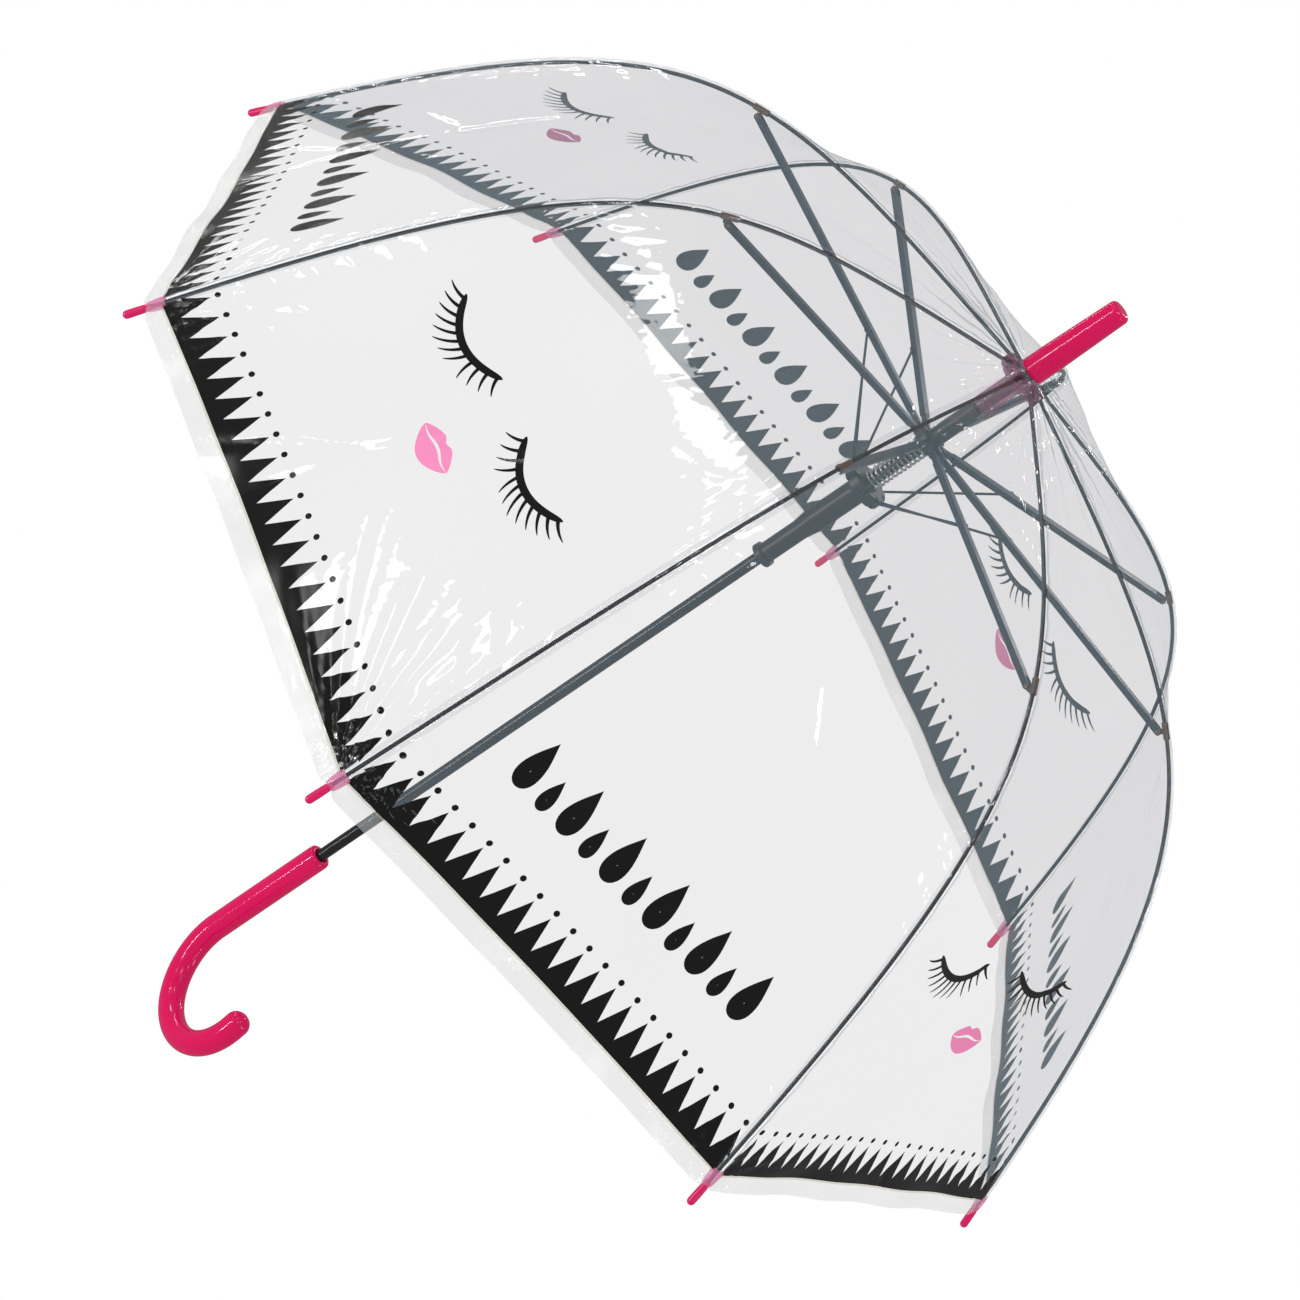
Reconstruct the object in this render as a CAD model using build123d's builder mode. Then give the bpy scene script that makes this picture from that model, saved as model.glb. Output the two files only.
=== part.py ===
"""Clear bubble umbrella: an eight-rib stick umbrella that a spring holds open.

Frame: +Z runs up the shaft to the ferrule. The origin is on the shaft's axis, half way down the
straight grip. The crook lies in the XZ plane and opens towards +X. The eight ribs stand at every
45 degrees from +X, and a film gore lies half way between each two. Everything is drawn open.
Millimetres and degrees.
"""
import os
from math import asin, atan2, cos, degrees, hypot, radians, sin, sqrt

from build123d import *

# ---- driving dimensions ----
RIBS = 8

rim_radius = 415.0            # a rib's end, out from the axis
rim_z = 318.0                 # height of the ribs' ends
crown_radius = 13.0           # where a rib starts, out from the axis
crown_z = 636.0
crown_slope = 8.5             # a rib's fall where it leaves the crown
crown_reach = 232.0           # how far that straight start pulls the curve
rim_lean = 22.8               # a rib's outward lean from straight down, at its end
rim_reach = 310.0             # how far that straight end pulls the curve
joint_share = 0.42            # share of the rib's curve above its stretcher joint

rib_width = 2.4
rib_depth = 2.6
rib_eye_radius = 2.2
rib_eye_drop = 2.0            # crown pivot below the rib's middle
clip_drop = 4.5               # stretcher pivot below the rib's middle
clip_thickness = 1.6
clip_eye_radius = 1.8

film_thickness = 0.3
film_clearance = 0.4          # between a rib and the film over it
film_lift = rib_depth / 2 + film_clearance
film_gap = 0.3                # between a gore's edge and the plane of its rib
film_over_crown = 3.7         # a gore runs this far inwards of its ribs' starts
hem_length = 12.0             # clear hem past the ribs' ends

tip_length = 24.0
tip_radius = 2.4
tip_flat = 0.3                # radius of the small flat on its rounded end
sleeve_length = 13.0
sleeve_clearance = 0.33       # round the corners of the rib's section
sleeve_wall = 1.3
sleeve_bore_radius = hypot(rib_width, rib_depth) / 2 + sleeve_clearance
sleeve_radius = sleeve_bore_radius + sleeve_wall
rib_in_sleeve = 9.0
rib_end_gap = 1.0             # between the rib's end and the floor of its sleeve
film_round_sleeve = 1.0       # the film's cut-out starts this far above the sleeve

shaft_radius = 4.0
shaft_wall = 0.6
shaft_in_handle = 68.0
shaft_bore = shaft_radius - shaft_wall
socket_clearance = 0.05
slide_clearance = 0.3
bore_on_shaft = shaft_radius + socket_clearance
slide_bore = shaft_radius + slide_clearance

handle_radius = 8.8
handle_top_z = 48.0
handle_straight = 96.5
crook_radius = 46.6
crook_angle = 190.0
crook_end = 12.0
crook_flat = 0.6              # radius of the small flat on its rounded end
handle_bevel = 2.0

ferrule_radius = 9.0
ferrule_tip_radius = 7.8
ferrule_length = 68.0
ferrule_straight = 14.0
ferrule_rounding = 3.0        # radius round the edge of its flat end
ferrule_over_shaft = 9.0

washer_radius = 9.6
washer_thickness = 1.6
washer_neck_radius = 7.4
washer_gap = 0.4

ring_bevel = 0.8
slot_clearance = 0.8          # a slot is this much wider than the eye in it
slot_floor = 0.4              # between a slot's floor and the eye that turns in it
slot_past_edge = 1.0          # a slot's cutter runs this far past its ring

crown_ring_radius = 17.0
crown_ring_height = 6.5
crown_ring_under_film = 1.0
crown_sleeve_wall = 2.75
crown_sleeve_radius = bore_on_shaft + crown_sleeve_wall
crown_sleeve_length = 27.5
crown_slot = rib_width + slot_clearance

stretcher_width = 5.0
stretcher_depth = 4.0
stretcher_wall = 0.8
stretcher_eye_radius = 1.8
stretcher_tongue_width = 3.0
stretcher_tongue_length = 13.0
tongue_in_channel = 4.0       # the tongue runs this far into the channel
stretcher_fork_length = 8.0

hub_drop = 73.6               # from the ribs' starts down to the hub's pivots
hub_z = crown_z - hub_drop
hub_neck_wall = 1.7
hub_neck_radius = slide_bore + hub_neck_wall
hub_neck_clearance = 0.4      # between the neck and the slots' floors
hub_pivot_radius = hub_neck_radius + hub_neck_clearance + slot_floor + stretcher_eye_radius
hub_rim = 2.9                 # from the pivots out to the hub's edge
hub_radius = hub_pivot_radius + hub_rim
hub_half_height = 4.0
hub_slot = stretcher_tongue_width + slot_clearance
hub_stop_gap = 3.0

runner_drop = 124.0           # from the ribs' starts down to the runner's pivots
runner_z = crown_z - runner_drop
runner_pivot_radius = 13.2
runner_head_radius = 15.5
runner_head_half_height = 4.0
runner_wall = 2.3
runner_lower_radius = slide_bore + runner_wall
runner_upper_step = 1.4       # the upper body stands this far outside the lower one
runner_upper_radius = runner_lower_radius + runner_upper_step
runner_upper_length = 38.0
runner_taper_length = 10.0
runner_flange_step = 1.7
runner_flange_radius = runner_lower_radius + runner_flange_step
runner_flange_height = 4.0
runner_length = 87.7

link_radius = 0.8
link_side_gap = 0.3           # between a link and its stretcher's side
link_offset = stretcher_width / 2 + link_side_gap + link_radius
link_eye_radius = 1.9
link_share = 0.32             # where a link meets its stretcher, from the hub
link_slot_clearance = 1.0
link_slot = 2 * link_radius + link_slot_clearance

ring_wire_radius = 0.5
ring_wire_groove = 0.6
eye_hole_radius = 1.0

spring_wire_radius = 0.8
spring_on_shaft = 1.4         # between the shaft and the inside of the coil
spring_radius = shaft_radius + spring_on_shaft + spring_wire_radius
spring_turns = 6
spring_gap = 0.3

catch_window_rise = 13.2      # the catch's place in the closed runner, up from its base
catch_height = 10.0
catch_width = 3.0
catch_proud = 3.4             # the nose's tip, out from the shaft
catch_reach = shaft_radius + catch_proud
catch_bevel = 1.5
catch_leaf_length = 29.0
catch_leaf_thickness = 0.6
catch_leaf_gap = 0.6          # between the leaf and the shaft's bore
catch_leaf_radius = shaft_bore - catch_leaf_gap
catch_left_proud = 0.1        # the pressed nose still stands this far out
catch_clearance = 0.5
window_margin = 1.0

closed_rib_angle = 5.0        # a closed rib's inner half, off the shaft
closed_tip_lean = 2.0         # a closed rib's outer half, off the shaft
film_pivot_drop = 9.0         # gores turn about a line this far below the ribs' pivots

# ---- the rib's curve and the linkage, worked out ----
pitch = 360 / RIBS
half_pitch = pitch / 2
flat_share = cos(radians(half_pitch))     # a gore's middle is this much nearer the axis than a rib


def rib_curve():
    """The four control points of a rib's middle line, as (radius, height)."""
    down, lean = radians(crown_slope), radians(rim_lean)
    return [
        (crown_radius, crown_z),
        (crown_radius + crown_reach * cos(down), crown_z - crown_reach * sin(down)),
        (rim_radius - rim_reach * sin(lean), rim_z + rim_reach * cos(lean)),
        (rim_radius, rim_z),
    ]


def between(a, b, share):
    return tuple(p + (q - p) * share for p, q in zip(a, b))


def blossom(points, shares):
    """The curve's polar form: with three equal shares it is the point on the curve."""
    for share in shares:
        points = [between(a, b, share) for a, b in zip(points, points[1:])]
    return points[0]


def stretch(points, first, last):
    """The control points of the stretch of the curve between two shares of it."""
    return [blossom(points, [last] * n + [first] * (3 - n)) for n in range(4)]


def outward(a, b):
    """The direction square to a line from a to b, on the film's side."""
    run, fall = b[0] - a[0], b[1] - a[1]
    size = hypot(run, fall)
    return -fall / size, run / size


def lifted(points, lift):
    """The stretch moved out by lift, square to the curve at both ends."""
    first, last = outward(points[0], points[1]), outward(points[2], points[3])
    ways = [first, first, last, last]
    return [(p[0] + w[0] * lift, p[1] + w[1] * lift) for p, w in zip(points, ways)]


def share_of(length):
    """The share of the curve that a short length takes at its end."""
    return length / (3 * rim_reach)


curve = rib_curve()
upper_stretch = stretch(curve, 0, joint_share)
lower_stretch = stretch(curve, joint_share, 1 + share_of(rib_in_sleeve))

crown_pivot = (crown_radius, crown_z - rib_eye_drop)
joint_way = outward(lower_stretch[0], lower_stretch[1])
joint_middle = lower_stretch[0]
joint_pivot = (joint_middle[0] - joint_way[0] * clip_drop, joint_middle[1] - joint_way[1] * clip_drop)
hub_pivot = (hub_pivot_radius, hub_z)
runner_pivot = (runner_pivot_radius, runner_z)
link_pivot = between(hub_pivot, joint_pivot, link_share)


def span(a, b):
    return hypot(b[0] - a[0], b[1] - a[1])


def lean_of(a, b):
    """The angle of the line from a to b off straight down, outwards."""
    return degrees(atan2(b[0] - a[0], a[1] - b[1]))


rib_arm = span(crown_pivot, joint_pivot)
stretcher_length = span(hub_pivot, joint_pivot)
link_length = span(runner_pivot, link_pivot)

# closed, the stretcher joint comes down beside the shaft, and the hub and runner follow it
rib_turn = lean_of(crown_pivot, joint_pivot) - closed_rib_angle
closed_joint = (
    crown_pivot[0] + rib_arm * sin(radians(closed_rib_angle)),
    crown_pivot[1] - rib_arm * cos(radians(closed_rib_angle)),
)
rib_outer_turn = closed_tip_lean - (lean_of(joint_pivot, curve[3]) - rib_turn)
closed_stretcher_lean = degrees(asin((closed_joint[0] - hub_pivot[0]) / stretcher_length))
stretcher_turn = 180 - lean_of(hub_pivot, joint_pivot) - closed_stretcher_lean
closed_hub_z = closed_joint[1] - stretcher_length * cos(radians(closed_stretcher_lean))
hub_travel = hub_z - closed_hub_z
closed_link_pivot = (
    hub_pivot[0] + link_share * stretcher_length * sin(radians(closed_stretcher_lean)),
    closed_hub_z + link_share * stretcher_length * cos(radians(closed_stretcher_lean)),
)
link_run = closed_link_pivot[0] - runner_pivot[0]
closed_runner_z = closed_link_pivot[1] - sqrt(link_length**2 - link_run**2)
runner_travel = runner_z - closed_runner_z
runner_base_z = runner_z + runner_head_half_height - runner_length
catch_z = runner_base_z + catch_window_rise - runner_travel
link_turn = 180 - lean_of(runner_pivot, link_pivot) - degrees(asin(link_run / link_length))

# a gore's middle line is the rib's with its radii shortened
film_pivot = (crown_radius * flat_share, crown_z - film_pivot_drop)
film_joint = (joint_middle[0] * flat_share, joint_middle[1])
film_rim = (rim_radius * flat_share, rim_z)
film_arm = span(film_pivot, film_joint)
closed_film_angle = degrees(asin((closed_joint[0] * flat_share + film_lift - film_pivot[0]) / film_arm))
film_turn = lean_of(film_pivot, film_joint) - closed_film_angle
film_lower_turn = closed_tip_lean - (lean_of(film_joint, film_rim) - film_turn)


def gore(points):
    """The radii of a rib's stretch shortened to a gore's middle line."""
    return [(radius * flat_share, height) for radius, height in points]


def export_ring(piece, name, first_angle=0.0):
    """Write the eight copies of a piece that was drawn at +X."""
    for number in range(RIBS):
        copy = piece.part.rotate(Axis.Z, first_angle + number * pitch)
        copy.label = f"{name}_{number + 1}"
        export_step(copy, f"parts/{copy.label}.step")


def export_one(piece, name):
    piece.part.label = name
    export_step(piece.part, f"parts/{name}.step")


os.makedirs("parts", exist_ok=True)

# ---- shaft: a thin steel tube from inside the handle to inside the ferrule ----
film_rise = film_over_crown * sin(radians(crown_slope))
washer_base_z = crown_z + film_lift + film_thickness + film_rise + washer_gap
ferrule_base_z = washer_base_z + washer_thickness
ferrule_top_z = ferrule_base_z + ferrule_length
shaft_top_z = ferrule_top_z - ferrule_over_shaft
shaft_base_z = handle_top_z - shaft_in_handle
catch_hole = catch_height + 2 * catch_clearance
with BuildPart() as shaft:
    with BuildSketch(Plane.XY.offset(shaft_base_z)):
        Circle(shaft_radius)
        Circle(shaft_bore, mode=Mode.SUBTRACT)
    extrude(amount=shaft_top_z - shaft_base_z)
    with Locations((-shaft_radius, 0, catch_z)):
        Box(shaft_radius, catch_width + 2 * catch_clearance, catch_hole, mode=Mode.SUBTRACT)
export_one(shaft, "shaft")

# ---- handle: straight grip and crook in one moulding, with the shaft's socket ----
with BuildPart() as handle:
    with BuildLine() as handle_path:
        grip = Line((0, 0, handle_top_z), (0, 0, handle_top_z - handle_straight))
        with BuildLine(Plane.XZ):
            crook = CenterArc(
                (crook_radius, handle_top_z - handle_straight), crook_radius, 180, crook_angle
            )
            Line(crook @ 1, crook @ 1 + (crook % 1) * crook_end)
    with BuildSketch(Plane.XY.offset(handle_top_z)):
        Circle(handle_radius)
    sweep(path=handle_path.wires()[0])
    crook_tip = handle.faces().filter_by(GeomType.PLANE).sort_by(Axis.X)[-1]
    fillet(crook_tip.edges(), radius=handle_radius - crook_flat)
    handle_top = handle.faces().filter_by(Axis.Z).sort_by(Axis.Z)[-1]
    fillet(handle_top.edges(), radius=handle_bevel)
    with Locations((0, 0, handle_top_z)):
        Hole(shaft_radius + socket_clearance, depth=shaft_in_handle + socket_clearance)
export_one(handle, "handle")

# ---- crown: notched ring that the ribs turn in, with a sleeve down the shaft ----
crown_ring_top = crown_z + film_lift - crown_ring_under_film
crown_ring_base = crown_ring_top - crown_ring_height
crown_sleeve_base = crown_ring_base - crown_sleeve_length


def cut_slots(inner, ring_radius, width, height, sideways=0.0, middle_z=0.0):
    """Eight slots through a ring, from its core to past its edge."""
    outer = ring_radius + slot_past_edge
    with PolarLocations(0, RIBS):
        with Locations(((inner + outer) / 2, sideways, middle_z)):
            Box(outer - inner, width, height, mode=Mode.SUBTRACT)


with BuildPart() as crown:
    with BuildSketch(Plane.XY.offset(crown_ring_base)):
        Circle(crown_ring_radius)
    extrude(amount=crown_ring_height)
    chamfer(crown.edges().filter_by(GeomType.CIRCLE), length=ring_bevel)
    cut_slots(
        crown_pivot[0] - rib_eye_radius - slot_floor, crown_ring_radius, crown_slot,
        2 * crown_ring_height, middle_z=(crown_ring_base + crown_ring_top) / 2,
    )
    with BuildSketch(Plane.XY.offset(crown_sleeve_base)):
        Circle(crown_sleeve_radius)
    extrude(amount=crown_sleeve_length)
    with BuildSketch(Plane.XY.offset(crown_sleeve_base)):
        Circle(bore_on_shaft)
    extrude(amount=crown_sleeve_length + crown_ring_height, mode=Mode.SUBTRACT)
    with Locations((0, 0, crown_pivot[1])):
        Torus(crown_pivot[0], ring_wire_groove, mode=Mode.SUBTRACT)
export_one(crown, "crown")

with BuildPart() as crown_wire:
    with Locations((0, 0, crown_pivot[1])):
        Torus(crown_pivot[0], ring_wire_radius)
export_one(crown_wire, "crown_wire")

# ---- canopy washer: clear flanged bush that keeps the film's middle down ----
with BuildPart() as canopy_washer:
    with BuildSketch(Plane.XY.offset(washer_base_z)):
        Circle(washer_radius)
    extrude(amount=washer_thickness)
    with BuildSketch(Plane.XY.offset(crown_ring_top)):
        Circle(washer_neck_radius)
    extrude(amount=washer_base_z - crown_ring_top)
    with BuildSketch(Plane.XY.offset(crown_ring_top)):
        Circle(bore_on_shaft)
    extrude(amount=ferrule_base_z - crown_ring_top, mode=Mode.SUBTRACT)
export_one(canopy_washer, "canopy_washer")

# ---- ferrule: moulded point over the shaft's end ----
with BuildPart() as ferrule:
    with BuildSketch(Plane.XZ):
        Polygon(
            (0, ferrule_top_z), (0, ferrule_base_z), (ferrule_radius, ferrule_base_z),
            (ferrule_radius, ferrule_base_z + ferrule_straight),
            (ferrule_tip_radius, ferrule_top_z), align=None,
        )
    revolve(axis=Axis.Z)
    ferrule_end = ferrule.faces().filter_by(Axis.Z).sort_by(Axis.Z)[-1]
    fillet(ferrule_end.edges(), radius=ferrule_rounding)
    with BuildSketch(Plane.XY.offset(ferrule_base_z)):
        Circle(bore_on_shaft)
    extrude(amount=shaft_top_z - ferrule_base_z + socket_clearance, mode=Mode.SUBTRACT)
export_one(ferrule, "ferrule")

# ---- stretcher hub: slides on the shaft, with a neck that stops under the crown's sleeve ----
hub_neck_top = crown_sleeve_base - hub_stop_gap
with BuildPart() as stretcher_hub:
    with BuildSketch(Plane.XY.offset(hub_z - hub_half_height)):
        Circle(hub_radius)
    extrude(amount=2 * hub_half_height)
    chamfer(stretcher_hub.edges().filter_by(GeomType.CIRCLE), length=ring_bevel)
    cut_slots(
        hub_pivot_radius - stretcher_eye_radius - slot_floor, hub_radius, hub_slot,
        4 * hub_half_height, middle_z=hub_z,
    )
    with Locations((0, 0, hub_z)):
        Torus(hub_pivot_radius, ring_wire_groove, mode=Mode.SUBTRACT)
    with BuildSketch(Plane.XY.offset(hub_z)):
        Circle(hub_neck_radius)
    extrude(amount=hub_neck_top - hub_z)
    with BuildSketch(Plane.XY.offset(hub_z - hub_half_height)):
        Circle(slide_bore)
    extrude(amount=hub_neck_top - hub_z + hub_half_height, mode=Mode.SUBTRACT)
export_one(stretcher_hub, "stretcher_hub")

with BuildPart() as hub_wire:
    with Locations((0, 0, hub_z)):
        Torus(hub_pivot_radius, ring_wire_radius)
export_one(hub_wire, "hub_wire")

# ---- runner: long sleeve with a head for the links, pulled down by hand to close ----
runner_head_base = runner_z - runner_head_half_height
runner_head_top = runner_z + runner_head_half_height
runner_wire_radius = hypot(runner_pivot_radius, link_offset)
upper_base_z = runner_head_base - runner_upper_length
lower_top_z = upper_base_z - runner_taper_length
with BuildPart() as runner:
    with BuildSketch(Plane.XY.offset(runner_head_base)):
        Circle(runner_head_radius)
    extrude(amount=2 * runner_head_half_height)
    chamfer(runner.edges().filter_by(GeomType.CIRCLE), length=ring_bevel)
    cut_slots(
        runner_pivot_radius - link_eye_radius - slot_floor, runner_head_radius, link_slot,
        4 * runner_head_half_height, sideways=link_offset, middle_z=runner_z,
    )
    with BuildSketch(Plane.XZ):
        Polygon(
            (0, runner_head_base), (0, runner_base_z), (runner_flange_radius, runner_base_z),
            (runner_flange_radius, runner_base_z + runner_flange_height),
            (runner_lower_radius, runner_base_z + runner_flange_height),
            (runner_lower_radius, lower_top_z), (runner_upper_radius, upper_base_z),
            (runner_upper_radius, runner_head_base), align=None,
        )
    revolve(axis=Axis.Z)
    with BuildSketch(Plane.XY.offset(runner_base_z)):
        Circle(slide_bore)
    extrude(amount=runner_length, mode=Mode.SUBTRACT)
    with Locations((0, 0, runner_z)):
        Torus(runner_wire_radius, ring_wire_groove, mode=Mode.SUBTRACT)
    with Locations((-runner_flange_radius, 0, catch_z + runner_travel)):
        Box(
            2 * runner_flange_radius - slide_bore, catch_width + 2 * window_margin,
            catch_height + 2 * window_margin, mode=Mode.SUBTRACT,
        )
export_one(runner, "runner")

with BuildPart() as runner_wire:
    with Locations((0, 0, runner_z)):
        Torus(runner_wire_radius, ring_wire_radius)
export_one(runner_wire, "runner_wire")

# ---- main spring: pushes the hub off the runner and holds the umbrella open ----
spring_base_z = runner_head_top + spring_gap + spring_wire_radius
spring_height = hub_z - hub_half_height - spring_gap - spring_wire_radius - spring_base_z
with BuildPart() as main_spring:
    with BuildLine():
        coil = Helix(
            pitch=spring_height / spring_turns, height=spring_height, radius=spring_radius,
            center=(0, 0, spring_base_z),
        )
    with BuildSketch(Plane(origin=coil @ 0, z_dir=coil % 0)):
        Circle(spring_wire_radius)
    sweep(path=coil, is_frenet=True)
export_one(main_spring, "main_spring")

# ---- catch: spring leaf in the shaft, whose nose holds the closed runner ----
with BuildPart() as catch:
    with Locations((-(catch_reach + catch_leaf_radius) / 2, 0, catch_z)):
        Box(catch_reach - catch_leaf_radius, catch_width, catch_height)
    nose_edges = catch.edges().filter_by(Axis.Y).group_by(Axis.X)[0]
    chamfer(nose_edges, length=catch_bevel)
    with Locations((-catch_leaf_radius + catch_leaf_thickness / 2, 0, catch_z)):
        Box(catch_leaf_thickness, catch_width, catch_leaf_length)
export_one(catch, "catch")

# ---- ribs: one flat wire each, with an eye at the crown and a clip for the stretcher ----
with BuildPart() as rib:
    with BuildSketch(Plane.XZ):
        with BuildLine():
            top_a = Bezier(*lifted(upper_stretch, rib_depth / 2))
            top_b = Bezier(*lifted(lower_stretch, rib_depth / 2))
            low_b = Bezier(*lifted(lower_stretch, -rib_depth / 2))
            low_a = Bezier(*lifted(upper_stretch, -rib_depth / 2))
            Line(top_a @ 0, low_a @ 0)
            Line(top_b @ 1, low_b @ 1)
        make_face()
    extrude(amount=rib_width / 2, both=True)
    with BuildSketch(Plane.XZ):
        with Locations(crown_pivot):
            Circle(rib_eye_radius)
    extrude(amount=rib_width / 2, both=True)
    with BuildSketch(Plane.XZ):
        with Locations(crown_pivot):
            Circle(eye_hole_radius)
    extrude(amount=rib_width, both=True, mode=Mode.SUBTRACT)
    with BuildSketch(Plane.XZ):
        with Locations(joint_pivot):
            Circle(clip_eye_radius)
        with Locations(Location(between(joint_pivot, joint_middle, 0.5), degrees(atan2(*joint_way[::-1])))):
            Rectangle(clip_drop, 2 * clip_eye_radius)
        with Locations(joint_pivot):
            Circle(eye_hole_radius, mode=Mode.SUBTRACT)
    extrude(amount=clip_thickness / 2, both=True)
export_ring(rib, "rib")

# ---- tips: soft sleeve over the rib's end and the film's corner, with a solid rounded end ----
tip_plane = Plane(
    origin=(curve[3][0], 0, curve[3][1]), x_dir=(0, 1, 0),
    z_dir=(sin(radians(rim_lean)), 0, -cos(radians(rim_lean))),
)
with BuildPart() as tip:
    with BuildSketch(tip_plane):
        Circle(sleeve_radius)
    extrude(amount=sleeve_length)
    with BuildSketch(tip_plane):
        Circle(tip_radius)
    extrude(amount=tip_length)
    rounded = tip.faces().filter_by(GeomType.PLANE).sort_by(Axis.Z)[0]
    fillet(rounded.edges(), radius=tip_radius - tip_flat)
    with BuildSketch(tip_plane):
        Circle(sleeve_bore_radius)
    extrude(amount=rib_in_sleeve + rib_end_gap, mode=Mode.SUBTRACT)
export_ring(tip, "tip")

# ---- stretchers: pressed U-channels, open below, from the hub to the rib's clip ----
stretcher_x = Vector(joint_pivot[0] - hub_pivot[0], 0, joint_pivot[1] - hub_pivot[1])
stretcher_plane = Plane(
    origin=(hub_pivot[0], 0, hub_pivot[1]), x_dir=stretcher_x, z_dir=stretcher_x.cross(Vector(0, 1, 0))
)
side_plane = Plane(origin=stretcher_plane.origin, x_dir=stretcher_x, z_dir=(0, -1, 0))
inner_width = stretcher_width - 2 * stretcher_wall
tongue_length = stretcher_tongue_length + tongue_in_channel
tongue_height = 2 * stretcher_eye_radius
with BuildPart() as stretcher:
    channel_length = stretcher_length - stretcher_tongue_length
    with BuildSketch(side_plane):
        with Locations((stretcher_tongue_length + channel_length / 2, 0)):
            Rectangle(channel_length, stretcher_depth)
        with Locations((stretcher_length, 0)):
            Circle(stretcher_depth / 2)
    extrude(amount=stretcher_width / 2, both=True)
    with BuildSketch(side_plane):
        with Locations((stretcher_tongue_length + channel_length / 2 + stretcher_depth, -stretcher_wall)):
            Rectangle(channel_length + stretcher_depth * 2, stretcher_depth)
        with Locations((stretcher_length, 0)):
            Rectangle(2 * stretcher_fork_length, 2 * stretcher_depth)
    extrude(amount=inner_width / 2, both=True, mode=Mode.SUBTRACT)
    with BuildSketch(side_plane):
        with Locations((stretcher_length, 0)):
            Circle(eye_hole_radius)
    extrude(amount=stretcher_width, both=True, mode=Mode.SUBTRACT)
    with BuildSketch(side_plane):
        Circle(stretcher_eye_radius)
        with Locations((tongue_length / 2, 0)):
            Rectangle(tongue_length, tongue_height)
        Circle(eye_hole_radius, mode=Mode.SUBTRACT)
    extrude(amount=stretcher_tongue_width / 2, both=True)
export_ring(stretcher, "stretcher")

# ---- links: thin wires from the runner's head to the side of each stretcher ----
link_way = Vector(link_pivot[0] - runner_pivot[0], 0, link_pivot[1] - runner_pivot[1])
link_side = Plane(
    origin=(runner_pivot[0], link_offset, runner_pivot[1]), x_dir=link_way, z_dir=(0, -1, 0)
)
with BuildPart() as link:
    with BuildSketch(Plane(origin=link_side.origin, x_dir=(0, 1, 0), z_dir=link_way)):
        Circle(link_radius)
    extrude(amount=link_length)
    with BuildSketch(link_side):
        with Locations((0, 0), (link_length, 0)):
            Circle(link_eye_radius)
    extrude(amount=link_radius, both=True)
    with BuildSketch(link_side):
        with Locations((0, 0), (link_length, 0)):
            Circle(eye_hole_radius)
    extrude(amount=2 * link_radius, both=True, mode=Mode.SUBTRACT)
export_ring(link, "link")


# ---- film: each gore in two panels, straight across from rib to rib ----
joint_gap = film_gap / (3 * span(upper_stretch[2], upper_stretch[3]) / joint_share)
film_cut = tip_plane.offset(-film_round_sleeve)
panels = {
    "film_upper": (-film_over_crown / (3 * crown_reach), joint_share - joint_gap),
    "film_lower": (joint_share + joint_gap, 1 + share_of(hem_length)),
}
for name, (first, last) in panels.items():
    middle_line = gore(stretch(curve, first, last))
    with BuildPart() as film:
        with BuildSketch(Plane.XZ):
            with BuildLine():
                outer = Bezier(*lifted(middle_line, film_lift + film_thickness))
                inner = Bezier(*lifted(middle_line, film_lift))
                Line(outer @ 0, inner @ 0)
                Line(outer @ 1, inner @ 1)
            make_face()
        extrude(amount=rim_radius, both=True)
        # back to the planes of the two ribs, and round their tips
        for side in (1, -1):
            way = Vector(-sin(radians(half_pitch)), side * cos(radians(half_pitch)), 0)
            split(bisect_by=Plane(origin=way * -film_gap, z_dir=way), keep=Keep.BOTTOM)
        for angle in (-half_pitch, half_pitch):
            with Locations(Location((0, 0, 0), (0, 0, angle)) * film_cut.location):
                Cylinder(
                    sleeve_radius + film_gap, tip_length,
                    align=(Align.CENTER, Align.CENTER, Align.MIN), mode=Mode.SUBTRACT,
                )
    export_ring(film, name, half_pitch)

print(f"rib arm {rib_arm:.1f}, stretcher {stretcher_length:.1f}, link {link_length:.1f}")
print(f"runner travel {runner_travel:.1f}, hub travel {hub_travel:.1f}")
print(f"turns: rib {rib_turn:.2f}, outer {rib_outer_turn:.2f}, stretcher {stretcher_turn:.2f}")
print(f"       link {link_turn:.2f}, film {film_turn:.2f}, lower film {film_lower_turn:.2f}")
print(f"catch travel {catch_proud - catch_left_proud:.1f}")
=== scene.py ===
# %% [markdown]
# # A clear bubble umbrella
# The umbrella is a stick with eight sprung ribs under a deep dome of clear soft film. The CAD model
# holds every solid part at its true size. This script keeps those parts, gives them finishes, and
# builds what CAD left plain: the wrinkled film with its prints, the clear seams, the round rib
# wires, the soft tips and the glossy pink mouldings.

import math

import bpy
import numpy as np
from mathutils import Matrix, Vector


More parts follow.
